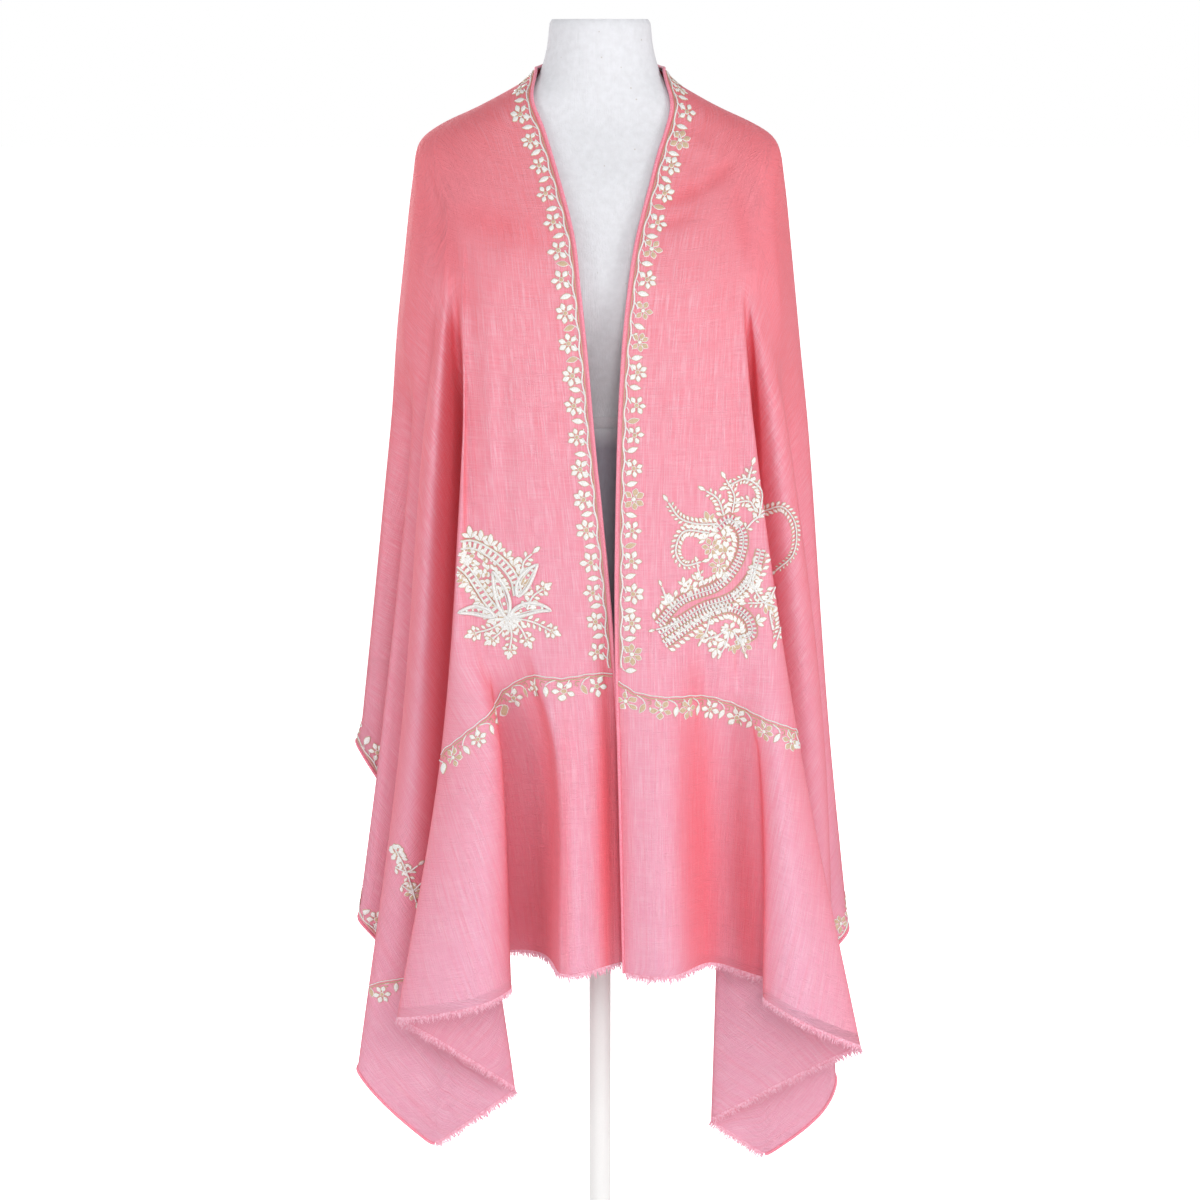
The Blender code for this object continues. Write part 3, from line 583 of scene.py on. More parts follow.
def clothCoordinates(points, leftCorner, rightCorner, hanging):
    # where each point lies on the flat cloth: across from the upper edge, and along from the left fringe
    def cotangent(apex, one, other):
        a, b = one - apex, other - apex
        return (a * b).sum(-1) / np.maximum(np.linalg.norm(np.cross(a, b), axis=-1), 1e-12)

    p00, p01, p10, p11 = points[:-1, :-1], points[:-1, 1:], points[1:, :-1], points[1:, 1:]
    rows, columns = points.shape[:2]
    right, down = np.zeros((rows, columns - 1)), np.zeros((rows - 1, columns))
    right[:-1] += cotangent(p10, p00, p01)
    right[1:] += cotangent(p01, p10, p11)
    down[:, :-1] += cotangent(p01, p00, p10)
    down[:, 1:] += cotangent(p10, p01, p11)
    across = cotangent(p00, p01, p10) + cotangent(p11, p10, p01)
    right, down, across = (np.clip(weight, flat["leastWeight"], flat["mostWeight"])
                           for weight in (right, down, across))

    def pull(values):
        total = np.zeros_like(values)
        for weight, here, there in (
                (right, (slice(None), slice(None, -1)), (slice(None), slice(1, None))),
                (down, (slice(None, -1), slice(None)), (slice(1, None), slice(None))),
                (across, (slice(None, -1), slice(1, None)), (slice(1, None), slice(None, -1)))):
            flow = weight * (values[here] - values[there])
            total[here] += flow
            total[there] -= flow
        return total

    def settle(fixed, values):  # conjugate gradients
        free = ~fixed
        left = -pull(values) * free
        step = left.copy()
        size = (left * left).sum()
        for _ in range(flat["rounds"]):
            pulled = pull(step) * free
            move = size / max((step * pulled).sum(), 1e-30)
            values = values + move * step
            left = left - move * pulled
            newSize = (left * left).sum()
            if newSize < flat["settled"]:
                break
            step = left + newSize / size * step
            size = newSize
        return values

    def shares(run):  # how far along a run of points each one is, 0 to 1
        along = lengthsAlong(run)
        return along / along[-1]

    width, length = shawl["width"], shawl["length"]
    upper = shares(np.concatenate([points[::-1, 0], points[0, 1:-1], points[:, -1]])) * length
    fixed = np.pad(np.zeros((rows - 2, columns - 2), bool), 1, constant_values=True)
    acrossStart = np.tile(np.linspace(0, width, rows)[:, None], (1, columns))
    acrossStart[0], acrossStart[:, 0], acrossStart[:, -1] = 0, 0, 0
    acrossStart[-1, :leftCorner + 1] = shares(points[-1, :leftCorner + 1]) * width
    acrossStart[-1, leftCorner:rightCorner + 1] = width
    acrossStart[-1, rightCorner:] = (1 - shares(points[-1, rightCorner:])) * width
    alongStart = np.tile(np.linspace(0, length, columns), (rows, 1))
    alongStart[:, 0] = upper[:rows][::-1]
    alongStart[0, 1:-1] = upper[rows:rows + columns - 2]
    alongStart[:, -1] = upper[-rows:]
    alongStart[-1, :leftCorner + 1] = 0
    alongStart[-1, leftCorner:rightCorner + 1] = shares(points[-1, leftCorner:rightCorner + 1]) * length
    alongStart[-1, rightCorner:] = length
    for edge, half in ((0, slice(1, columns // 2)), (-1, slice(columns // 2, -1))):
        inward = slice(None, None, 1 if edge == 0 else -1)  # the fronts hang straight from their edges
        steps = np.array([lengthsAlong(run) for run in points[:, inward]])[:, inward]
        held = hanging[:, half] & ~fixed[:, half]
        acrossStart[:, half] = np.where(held, steps[:, half], acrossStart[:, half])
        alongStart[:, half] = np.where(held, alongStart[:, edge][:, None], alongStart[:, half])
        fixed[:, half] |= held
    return settle(fixed, acrossStart), settle(fixed, alongStart)


def spread(values, rowPicks, columnPicks):  # from the coarse grid to the fine one
    wide = np.array([np.interp(np.arange(lastColumn + 1), columnPicks, row) for row in values])
    return np.array([np.interp(np.arange(lastRow + 1), rowPicks, column) for column in wide.T]).T


corners = (columnOf(-1, "tailCorner"), columnOf(1, "tailCorner"))
rowStep, columnStep = flat["picks"]
rowPicks = np.unique([*range(0, lastRow, rowStep), lastRow])
columnPicks = np.unique([*range(0, lastColumn, columnStep), *corners, lastColumn])
coarse = grid[np.ix_(rowPicks, columnPicks)]
inPanel = (columnPicks <= columnOf(-1, "flareFold")) | (columnPicks >= columnOf(1, "flareFold"))
coarseY, coarseZ = coarse[..., 1], coarse[..., 2]
chestLow, chestHigh = flat["chest"]
inFront = np.where((coarseZ > chestLow) & (coarseZ < chestHigh),
                   coarseY < flat["frontY"] - flat["chestSlope"] * (chestHigh - coarseZ),
                   inPanel & (coarseY < flat["frontY"]) & (coarseZ < flat["hangsBelow"]))
flatAcross, flatAlong = (spread(values, rowPicks, columnPicks) for values in clothCoordinates(
    coarse, *(int(np.searchsorted(columnPicks, corner)) for corner in corners), inFront))


print("stage: materials")
yarn = {
    "coral": (0.83, 0.225, 0.262, 1),  # towards the shoulders
    "pink": (0.82, 0.368, 0.505, 1),  # towards the hem
    "coralAbove": 1.42,
    "pinkBelow": 0.6,
    "pale": (0.88, 0.56, 0.66, 1),
    # deep red: the colour of the broad weft bands, and of the painted shade in folds
    "deep": (0.83, 0.072, 0.092, 1),
    "palest": 0.5,  # how much paler a slub is than the ground
    "smoothest": (0.158, 0.045, 1.325),  # x and y either way from the middle
    "smoothWithin": (0.05, 0.15),  # metres from there
    "leastShown": 0.1,  # of the slubs, where the cloth is pulled smooth
    "warpMask": (0.44, 0.7),  # noise between which a slub fades in
    "weftMask": (0.45, 0.72),
    "bandMask": (0.46, 0.72),
    "banded": 0.12,  # how much deeper a broad band of weft is
    # painted shade: how deep a fold is looked for, and how occlusion and turning are mapped to deep red
    "foldDepth": 0.09,
    "foldShadeMask": (0.85, 0.25),
    "turnShadeMask": (0.02, 0.7),
    "paintedFoldShade": 0.58,  # painted shade: how much redder the cloth is painted deep in a fold
    "turned": 0.54,  # painted shade: and where it turns away from the view
    "slubWidth": 0.001,  # metres across a thick place in a thread
    "slubLength": 0.03,
    "bandWidth": 0.0036,
    "bandLength": 0.16,
    "threadPitch": 0.0009,
    "roughness": 0.8,
    "sheen": 0.25,
    "sheenTint": (1.0, 0.72, 0.8, 1),
    "bump": (0.9, 0.001),  # strength and height
}
threads = {  # colour, second tone, specks a metre, roughness and sheen
    "hemYarn": ((0.81, 0.2, 0.28, 1), (0.88, 0.33, 0.43, 1), 900.0, 0.6, 0.3),
    "fringeYarn": ((0.82, 0.32, 0.43, 1), (0.92, 0.54, 0.66, 1), 500.0, 0.8, 0.4),
    "silverThread": ((0.88, 0.89, 0.9, 1), (0.69, 0.66, 0.62, 1), 1400.0, 0.45, 0.2),
    "goldThread": ((0.51, 0.35, 0.22, 1), (0.64, 0.49, 0.34, 1), 1400.0, 0.5, 0.2),
    "cottonTape": ((0.7, 0.69, 0.72, 1), (0.62, 0.6, 0.64, 1), 1200.0, 0.9, 0.1),
}
linen = {
    "pale": (0.745, 0.75, 0.785, 1),
    "shaded": (0.4, 0.37, 0.43, 1),  # under the tape
    "mottle": (0.45, 0.42, 0.4, 1),
    "speck": (0.42, 0.36, 0.3, 1),
    "specksPerMetre": 62.0,
    "threadPitch": 0.0011,
    "slub": 0.0012,
}


def mathOn(tree, operation, *values, kind="ShaderNodeMath", output=0):
    return add(tree, kind, dict(enumerate(values)), operation=operation).outputs[output]


def vectorOn(tree, operation, *values, output=0):
    return mathOn(tree, operation, *values, kind="ShaderNodeVectorMath", output=output)


def noiseOn(tree, place, scale, detail, roughness=0.5):
    return add(tree, "ShaderNodeTexNoise", {"Vector": place, "Scale": scale, "Detail": detail,
                                            "Roughness": roughness}).outputs["Fac"]


weaving = {
    "detail": 2.0,
    "roughness": 0.55,
    "shifts": (3.1, 17.7),  # so that the two ways of the weave differ
    "grain": 0.6,  # how much of the height is single threads
}


def weaveGroup():  # slubby plain weave: a mask of streaks each way, and a height
    group = bpy.data.node_groups.new("slubWeave", "ShaderNodeTree")
    for name, kind in (("Vector", "Vector"), ("Slub Width", "Float"), ("Slub Length", "Float"),
                       ("Pitch", "Float")):
        group.interface.new_socket(name, in_out="INPUT", socket_type="NodeSocket" + kind)
    for name in ("Streaks", "Cross Streaks", "Height"):
        group.interface.new_socket(name, in_out="OUTPUT", socket_type="NodeSocketFloat")
    start = group.nodes.new("NodeGroupInput").outputs

    def streaks(width, length, shift):
        sizes = add(group, "ShaderNodeCombineXYZ", {"X": width, "Y": length, "Z": 1.0}).outputs[0]
        scaled = vectorOn(group, "DIVIDE", start["Vector"], sizes)
        moved = vectorOn(group, "ADD", scaled, (shift, shift, 0))
        return noiseOn(group, moved, 1.0, weaving["detail"], weaving["roughness"])

    warp = streaks(start["Slub Width"], start["Slub Length"], weaving["shifts"][0])
    weft = streaks(start["Slub Length"], start["Slub Width"], weaving["shifts"][1])
    grain = noiseOn(group, start["Vector"], mathOn(group, "DIVIDE", 1.0, start["Pitch"]), 1.0)
    height = mathOn(group, "MULTIPLY_ADD", grain, weaving["grain"], mathOn(group, "ADD", warp, weft))
    add(group, "NodeGroupOutput", {"Streaks": warp, "Cross Streaks": weft, "Height": height})
    return group


slubWeave = weaveGroup()


def weaveOn(tree, vector, pitch, width, length):
    return add(tree, "ShaderNodeGroup", {"Vector": vector, "Slub Width": width, "Slub Length": length,
                                         "Pitch": pitch}, node_tree=slubWeave).outputs


def objectPlace(tree):
    return add(tree, "ShaderNodeTexCoord").outputs["Object"]


def heightOf(tree, place):
    return add(tree, "ShaderNodeSeparateXYZ", {0: place}).outputs["Z"]


def mixColors(tree, factor, one, other, blend="MIX"):
    return add(tree, "ShaderNodeMix", {"Factor": factor, 6: one, 7: other},
               data_type="RGBA", blend_type=blend).outputs[2]


def bumpOf(tree, height, strength, distance):
    return add(tree, "ShaderNodeBump",
               {"Height": height, "Strength": strength, "Distance": distance}).outputs[0]


def pashminaMaterial():
    made, tree, shader = newMaterial("pashmina")
    uv = add(tree, "ShaderNodeUVMap", uv_map="flatCloth").outputs[0]
    weave = weaveOn(tree, uv, yarn["threadPitch"], yarn["slubWidth"], yarn["slubLength"])
    bands = weaveOn(tree, uv, yarn["threadPitch"], yarn["bandWidth"], yarn["bandLength"])
    place = objectPlace(tree)
    down = remap(tree, heightOf(tree, place), yarn["pinkBelow"], yarn["coralAbove"], 1.0, 0.0)
    color = mixColors(tree, down, yarn["coral"], yarn["pink"])
    away = vectorOn(tree, "DISTANCE", vectorOn(tree, "ABSOLUTE", place), yarn["smoothest"], output="Value")
    shown = remap(tree, away, *yarn["smoothWithin"], yarn["leastShown"], 1.0)
    for mask, between, most, tone in (
            (weave["Streaks"], yarn["warpMask"], yarn["palest"], yarn["pale"]),
            (weave["Cross Streaks"], yarn["weftMask"], yarn["palest"] * 0.5, yarn["pale"]),
            (bands["Streaks"], yarn["bandMask"], yarn["banded"], yarn["deep"])):
        share = mathOn(tree, "MULTIPLY", remap(tree, mask, *between, 0.0, most), shown)
        color = mixColors(tree, share, color, tone)
    # painted shade: the colour goes towards deep red where ambient occlusion finds a fold, where the cloth
    # turns from the view, and along the crease strips
    hidden = add(tree, "ShaderNodeAmbientOcclusion", {"Distance": yarn["foldDepth"]}, samples=6)
    turn = add(tree, "ShaderNodeLayerWeight", {"Blend": 0.5})
    for factor in (remap(tree, hidden.outputs["AO"], *yarn["foldShadeMask"], 0.0, yarn["paintedFoldShade"]),
                   remap(tree, turn.outputs["Facing"], *yarn["turnShadeMask"], 0.0, yarn["turned"]),
                   add(tree, "ShaderNodeAttribute", attribute_name="paintedCreaseShade").outputs["Fac"]):
        color = mixColors(tree, factor, color, yarn["deep"])
    feed(tree, shader, {"Base Color": color, "Roughness": yarn["roughness"], "Specular IOR Level": 0.3,
                        "Sheen Weight": yarn["sheen"], "Sheen Roughness": 0.45, "Sheen Tint": yarn["sheenTint"],
                        "Normal": bumpOf(tree, weave["Height"], *yarn["bump"])})
    return made


def yarnMaterial(name, base, other, scale, roughness, sheen):
    made, tree, shader = newMaterial(name)
    noise = noiseOn(tree, objectPlace(tree), scale, 2.0)
    feed(tree, shader, {"Base Color": mixColors(tree, remap(tree, noise, 0.35, 0.65, 0.0, 1.0), base, other),
                        "Roughness": roughness, "Specular IOR Level": 0.3, "Sheen Weight": sheen,
                        "Normal": bumpOf(tree, noise, 0.4, 0.0003)})
    return made


def linenMaterial():
    made, tree, shader = newMaterial("linen")
    place = objectPlace(tree)
    weave = weaveOn(tree, place, linen["threadPitch"], linen["slub"], linen["slub"])
    tapeLow = form["tapeHeights"][0]
    low = remap(tree, heightOf(tree, place), tapeLow, tapeLow - 0.02, 0.0, 1.0)
    color = mixColors(tree, low, linen["pale"], linen["shaded"])
    mottle = remap(tree, noiseOn(tree, place, 160.0, 3.0), 0.3, 0.7, 0.0, 0.14)
    color = mixColors(tree, mottle, color, linen["mottle"], "MULTIPLY")
    specks = add(tree, "ShaderNodeTexVoronoi", {"Vector": place, "Scale": linen["specksPerMetre"]})
    spots = remap(tree, specks.outputs["Distance"], 0.035, 0.06, 0.55, 0.0)
    feed(tree, shader, {"Base Color": mixColors(tree, spots, color, linen["speck"]), "Roughness": 0.95,
                        "Specular IOR Level": 0.2, "Normal": bumpOf(tree, weave["Height"], 0.5, 0.0008)})
    return made


def standMaterial():
    made, tree, shader = newMaterial("powderCoat")
    noise = noiseOn(tree, objectPlace(tree), 900.0, 2.0)
    feed(tree, shader, {"Base Color": mixColors(tree, noise, (0.8, 0.8, 0.79, 1), (0.86, 0.86, 0.85, 1)),
                        "Roughness": 0.42, "Normal": bumpOf(tree, noise, 0.15, 0.0002)})
    return made


pashmina = pashminaMaterial()
hemYarn, fringeYarn, silverThread, goldThread, tapeCloth = (
    yarnMaterial(name, *row) for name, row in threads.items())
linenCloth = linenMaterial()
powderCoat = standMaterial()


def addPiece(name, data, *materials, slotName=None, stands=()):
    piece = bpy.data.objects.new(name, data)
    bpy.context.scene.collection.objects.link(piece)
    for material in materials:
        data.materials.append(material)
    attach(piece, "root")
    if stands:
        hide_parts(*stands)
    return piece


print("stage: shawl")


def makeShawl():
    shape = bmesh.new()
    bmesh.ops.create_grid(shape, x_segments=lastColumn, y_segments=lastRow, size=0.5)
    mesh = meshFrom("shawl", shape)
    count = len(mesh.vertices)
    square = np.empty(count * 3)
    mesh.vertices.foreach_get("co", square)
    column = np.rint((square[0::3] + 0.5) * lastColumn).astype(int)
    row = np.rint((square[1::3] + 0.5) * lastRow).astype(int)
    mesh.vertices.foreach_set("co", grid[row, column].ravel())
    layer = mesh.uv_layers.new(name="flatCloth")
    corner = np.empty(len(mesh.loops), np.int32)
    mesh.loops.foreach_get("vertex_index", corner)
    uv = np.stack([flatAcross[row, column], flatAlong[row, column]], axis=1)[corner]
    layer.data.foreach_set("uv", uv.ravel())
    # painted crease shade, as a point attribute for the material
    mesh.attributes.new("paintedCreaseShade", "FLOAT", "POINT").data.foreach_set("value", paintedCreaseShade[row, column])
    mesh.update()
    middle = count // 2
    if mesh.vertices[middle].normal.dot(Vector(normals[row[middle], column[middle]])) < 0:
        mesh.flip_normals()
    return addPiece("shawl", mesh, pashmina, slotName="pashmina",
                    stands=("shawl_left_front", "shawl_left_side", "shawl_back",
                            "shawl_right_side", "shawl_right_front"))


shawlPiece = makeShawl()


print("stage: dress form and stand")


def formPoint(share, z, outward):  # share is 0 to 1 round the form
    half, front, back = smoothBetween(formKnots, z)
    turn = 2 * math.pi * share
    across, deep = math.sin(turn), math.cos(turn)
    depth = front if deep > 0 else back
    x = math.copysign(abs(across)**form["power"], across) * (half + outward)
    y = -math.copysign(abs(deep)**form["power"], deep) * (depth + outward)
    return Vector((x, y, z))


def ringLoft(rings, sides, place, capped=True):  # a turned skin, drawn ring by ring and then put in place
    shape = bmesh.new()
    bmesh.ops.create_circle(shape, segments=sides, radius=1)
    edges = shape.edges[:]
    for step in range(1, rings):
        drawn = bmesh.ops.extrude_edge_only(shape, edges=edges)["geom"]
        edges = [item for item in drawn if isinstance(item, bmesh.types.BMEdge)
                 and all(v.co.z < step - 0.5 for v in item.verts) and len(item.link_faces) == 1]
        bmesh.ops.translate(shape, verts=list({v for edge in edges for v in edge.verts}), vec=(0, 0, 1))
    if capped:
        ends = [edge for edge in shape.edges if edge.is_boundary]
        caps = bmesh.ops.holes_fill(shape, edges=ends, sides=sides)["faces"]
        bmesh.ops.poke(shape, faces=caps)
    for vertex in shape.verts:
        radius = math.hypot(vertex.co.x, vertex.co.y)
        share = (math.atan2(vertex.co.x, -vertex.co.y) / (2 * math.pi)) % 1
        vertex.co = place(share, round(vertex.co.z), radius)
    bmesh.ops.recalc_face_normals(shape, faces=shape.faces[:])
    return shape


def makeForm():
    low, high = formRings[-1].z, formRings[0].z
    heights = [high, high - 0.0005, high - 0.0015]
    heights += list(np.linspace(high - 0.004, low + 0.004, int((high - low) / form["ringStep"])))
    heights += [low + 0.0015, low]

    def place(share, ring, radius):
        z = heights[ring]
        return formPoint(share, z, 0.0) if radius > 0.5 else Vector((0, 0, z))

    mesh = meshFrom("dressForm", ringLoft(len(heights), form["sides"], place))
    mesh.set_sharp_from_angle(angle=math.radians(50))
    return addPiece("dressForm", mesh, linenCloth, slotName="linen", stands=("dress_form",))


def makeTape():
    low, high = form["tapeHeights"]
    inner, outer = form["tapeGap"], form["tapeGap"] + form["tapeWall"]
    steps = [(low, inner), (low, outer - 0.0003), (low + 0.0004, outer), (high - 0.0004, outer),
             (high, outer - 0.0003), (high, inner)]

    def place(share, ring, radius):
        z, outward = steps[ring]
        return formPoint(share, z, outward)

    mesh = meshFrom("waistTape", ringLoft(len(steps), form["sides"], place, capped=False))
    mesh.set_sharp_from_angle(angle=math.radians(40))
    return addPiece("waistTape", mesh, tapeCloth, slotName="tape", stands=("waist_tape",))


stand = {
    "poleRadius": 0.011,
    "collarRadius": 0.03,
    "collarHeight": 0.03,
    "baseRadius": 0.19,
    "baseHeight": 0.016,
    "baseEdge": 0.005,
    "bossHeight": 0.006,
    "gap": 0.0003,
    "segments": 96,
}


def turned(name, profile, node):
    shape = bmesh.new()
    points = [shape.verts.new((radius, 0, z)) for radius, z in profile]
    edges = [shape.edges.new(pair) for pair in zip(points, points[1:])]
    bmesh.ops.spin(shape, geom=points + edges, axis=(0, 0, 1), cent=(0, 0, 0), dvec=(0, 0, 0),
                   angle=2 * math.pi, steps=stand["segments"], use_merge=True, use_duplicate=False)
    bmesh.ops.remove_doubles(shape, verts=shape.verts[:], dist=1e-6)
    bmesh.ops.recalc_face_normals(shape, faces=shape.faces[:])
    mesh = meshFrom(name, shape)
    mesh.set_sharp_from_angle(angle=math.radians(30))
    return addPiece(name, mesh, powderCoat, slotName="stand", stands=(node,))


def rounded(corner, inset, drop):  # a quarter round at the outer end of a profile
    x, z = corner
    return [(x - inset + inset * math.sin(t * math.pi / 8), z - drop + drop * math.cos(t * math.pi / 8))
            for t in range(5)]


def makeStand():
    radius, height, edge = stand["baseRadius"], stand["baseHeight"], stand["baseEdge"]
    pole, collar, gap = stand["poleRadius"], stand["collarRadius"], stand["gap"]
    top, formLow = height + stand["bossHeight"], formRings[-1].z
    low, high = formLow - stand["collarHeight"], formLow - gap
    turned("standBase", [(0, 0), (radius - edge, 0), (radius - 0.001, edge * 0.6), (radius, edge),
                         *rounded((radius, height), edge, edge)[::-1], (collar + 0.06, height + 0.0025),
                         (collar, top), (0, top)], "form_base")
    turned("standPole", [(0, top + gap), (pole, top + gap), (pole, low - gap), (0, low - gap)], "form_pole")
    turned("standCollar", [(0, low), (pole + 0.003, low), (pole + 0.005, low + 0.001),
                           (collar - 0.001, low + 0.012), (collar, low + 0.014), (collar, high), (0, high)],
           "form_collar")


makeForm()
makeTape()
makeStand()


print("stage: hems and fringe")
hem = {"radius": 0.0015, "out": 0.0011, "step": 0.003, "uneven": 0.12}


class Trail:  # a line on the cloth, with a way off to one side of it
    def __init__(self, points, beside, columns, step=0.002, smooth=4):
        points, beside = np.array(points, float), np.array(beside, float)
        along, index = lengthsAlong(points), np.arange(len(points))
        places = np.interp(np.linspace(0, along[-1], max(int(along[-1] / step), 2)), along, index)

        def pick(values):
            return np.stack([np.interp(places, index, values[:, k]) for k in range(values.shape[1])], axis=1)

        self.points, aside = pick(points), pick(beside)
        for _ in range(smooth):
            aside[1:-1] = (aside[:-2] + 2 * aside[1:-1] + aside[2:]) / 4
        self.columns = np.interp(places, index, np.array(columns, float))
        self.tangents = unit(np.gradient(self.points, axis=0))
        away = aside - self.points
        away -= self.tangents * (away * self.tangents).sum(axis=1, keepdims=True)
        self.away = unit(away)
        self.along = lengthsAlong(self.points)
        self.length = self.along[-1]

    def at(self, along, away):  # a place beside the line, and its column
        values = np.concatenate([self.points, self.away, self.columns[:, None]], axis=1)
        picked = np.array([np.interp(along, self.along, values[:, k]) for k in range(7)])
        beyond = along - min(max(along, 0), self.length)
        end = self.tangents[0] if beyond < 0 else self.tangents[-1]
        return picked[:3] + unit(picked[3:6]) * away + end * beyond, picked[6]


depthIn = 6  # rows and columns from an edge to the way in
rowsUp, rowsDown = np.arange(lastRow, -1, -1), np.arange(0, lastRow + 1)
upperPoints = [*grid[rowsUp, 0], *grid[0, 1:-1], *grid[rowsDown, -1]]
upperBeside = [*grid[rowsUp, depthIn], *grid[depthIn, 1:-1], *grid[rowsDown, -1 - depthIn]]
upperColumns = [0] * len(rowsUp) + list(range(1, lastColumn)) + [lastColumn] * len(rowsDown)
upperEdge = Trail(upperPoints, upperBeside, upperColumns, smooth=10)


def lowerTrail(first, last, step):  # a stretch of the lowest row
    columns = range(first, last + 1)
    return Trail(grid[-1, columns], grid[-1 - depthIn, columns], columns, step)


leftEnd, rightEnd = lowerTrail(0, corners[0], 0.001), lowerTrail(corners[1], lastColumn, 0.001)
lowerEdge = lowerTrail(*corners, 0.0015)
print("upper edge", round(upperEdge.length, 3), "lower edge", round(lowerEdge.length, 3),
      "ends", round(leftEnd.length, 3), round(rightEnd.length, 3))


def threadCurve(name, radius, resolution):
    curve = bpy.data.curves.new(name, "CURVE")
    curve.dimensions = "3D"
    curve.bevel_depth = radius
    curve.bevel_resolution = resolution
    curve.use_fill_caps = True
    return curve


def addThread(curve, points, radii=None):
    spline = curve.splines.new("POLY")
    spline.points.add(len(points) - 1)
    for i, place in enumerate(points):
        spline.points[i].co = (*place, 1)
        if radii is not None:
            spline.points[i].radius = radii[i]


def makeHem(name, trail, node, seed):
    random = np.random.default_rng(seed)
    count = int(trail.length / hem["step"])
    stations = np.linspace(0, trail.length, count)
    curve = threadCurve(name, hem["radius"], 2)
    wander = np.convolve(random.normal(0, 1, count + 8), np.ones(9) / 9, "valid")
    addThread(curve, [trail.at(s, -hem["out"])[0] for s in stations], 1.0 + hem["uneven"] * wander)
    return addPiece(name, curve, hemYarn, slotName="pashmina_hem", stands=(node,))


upperHem = makeHem("upperHem", upperEdge, "neck_hem", 11)
lowerHem = makeHem("lowerHem", lowerEdge, "lower_hem", 12)

fringe = {
    "pitch": 0.0017,
    "length": 0.0066,
    "lengthSpread": 0.18,
    "lean": 0.16,
    "radius": 0.00042,
    "strandsInTuft": 3,
    "shortest": 0.0045,
    "longest": 1.4,  # of the length
    "forward": 0.0008,  # how far a tip stands off the cloth's plane
    "tipSpread": 0.0003,
    "curl": 0.0005,
    "taper": (0.9, 1.0, 0.85, 0.35),
}


def makeFringe(name, trail, node, seed):
    random = np.random.default_rng(seed)
    curve = threadCurve(name, fringe["radius"], 0)
    leanNow = 0.0
    for station in np.arange(0.002, trail.length - 0.001, fringe["pitch"]):
        leanNow = 0.75 * leanNow + 0.25 * random.normal(0, 1)
        lean = fringe["lean"] * leanNow * 2
        length = fringe["length"] * (1 + fringe["lengthSpread"] * random.normal(0, 1))
        length = min(max(length, fringe["shortest"]), fringe["length"] * fringe["longest"])
        tip = station + lean * length
        forward = random.normal(0, fringe["forward"])
        normal = np.cross(*(trail.at(station + d, 0)[0] - trail.at(station, 0.004)[0] for d in (-0.002, 0.002)))
        normal = unit(normal) * forward
        for strand in range(fringe["strandsInTuft"]):
            root = station + (strand - 1) * fringe["pitch"] / 3
            reach = length * random.uniform(0.82, 1.0)
            end = tip + random.normal(0, fringe["tipSpread"])
            curl = random.normal(0, fringe["curl"])
            points = [trail.at(root, 0.0012)[0], trail.at(root, -0.0008)[0],
                      trail.at(root + (end - root) * 0.5 + curl, -reach * 0.55)[0] + normal * 0.4,
                      trail.at(end, -reach)[0] + normal]
            addThread(curve, points, fringe["taper"])
    return addPiece(name, curve, fringeYarn, slotName="pashmina_hem", stands=(node,))


leftFringe = makeFringe("leftFringe", leftEnd, "left_fringe", 4)
rightFringe = makeFringe("rightFringe", rightEnd, "right_fringe", 7)


print("stage: embroidery")
embroidery = {
    "lift": 0.0002,
    "rise": 0.0005,  # how far a filled shape stands up inside its outline
    "middleRise": 1.3,
    "rim": 0.00055,
    "thread": 0.00072,
    "fineThread": 0.0005,
    "threadLift": 0.6,  # of its radius
    "leafTurn": 0.9,  # from its stem
}
thick, fine = embroidery["thread"], embroidery["fineThread"]


def treeOf(first, last, rows=lastRow):  # a stretch of the cloth, to lay stitches on
    wide = last - first + 1
    places = [tuple(place) for place in grid[:rows + 1, first:last + 1].reshape(-1, 3)]
    quads = [(r * wide + c, r * wide + c + 1, (r + 1) * wide + c + 1, (r + 1) * wide + c)
             for r in range(rows) for c in range(wide - 1)]
    return BVHTree.FromPolygons(places, quads)


def stretchList():
    turns = ["valleyTurn", "flareFold", "innerFold", "tailFold", "tailReturn", "secondFold",
             "secondReturn", "sideFold"]
    left = [columnOf(-1, name) for name in turns]
    right = [columnOf(1, name) for name in turns if name in [fold.name for fold in rightFolds]]
    ends = [0, *left, *right[::-1], lastColumn]
    overlap = shawl["stepsPerSpan"]
    return [(low, high, treeOf(max(low - overlap, 0), min(high + overlap, lastColumn)))
            for low, high in zip(ends, ends[1:])]


stretches = stretchList()
shoulderRows = 60  # down to where the first folds start
shoulders = treeOf(0, lastColumn, shoulderRows)
shouldersDown = 1.30


def besideTrail(trail):  # lays (along, away from the line) on the cloth
    def lay(u, v):
        near, column = trail.at(u, v)
        if near[2] > shouldersDown:
            tree = shoulders
        else:
            tree = next(tree for low, high, tree in stretches if low <= column <= high)
        return tree.find_nearest(near)[:2]
    return lay


def fromFront(side, first, last, rim=-0.14):  # lays (x, z), as seen from in front, on a stretch
    tree = treeOf(*stretchOf(side, first, last))

    def lay(u, v):
        place, normal = tree.ray_cast((u, -1.0, v), (0, 1, 0))[:2]
        if place is None or normal.y > -0.15:
            place, normal = tree.find_nearest((u, rim, v))[:2]
        return place, normal
    return lay


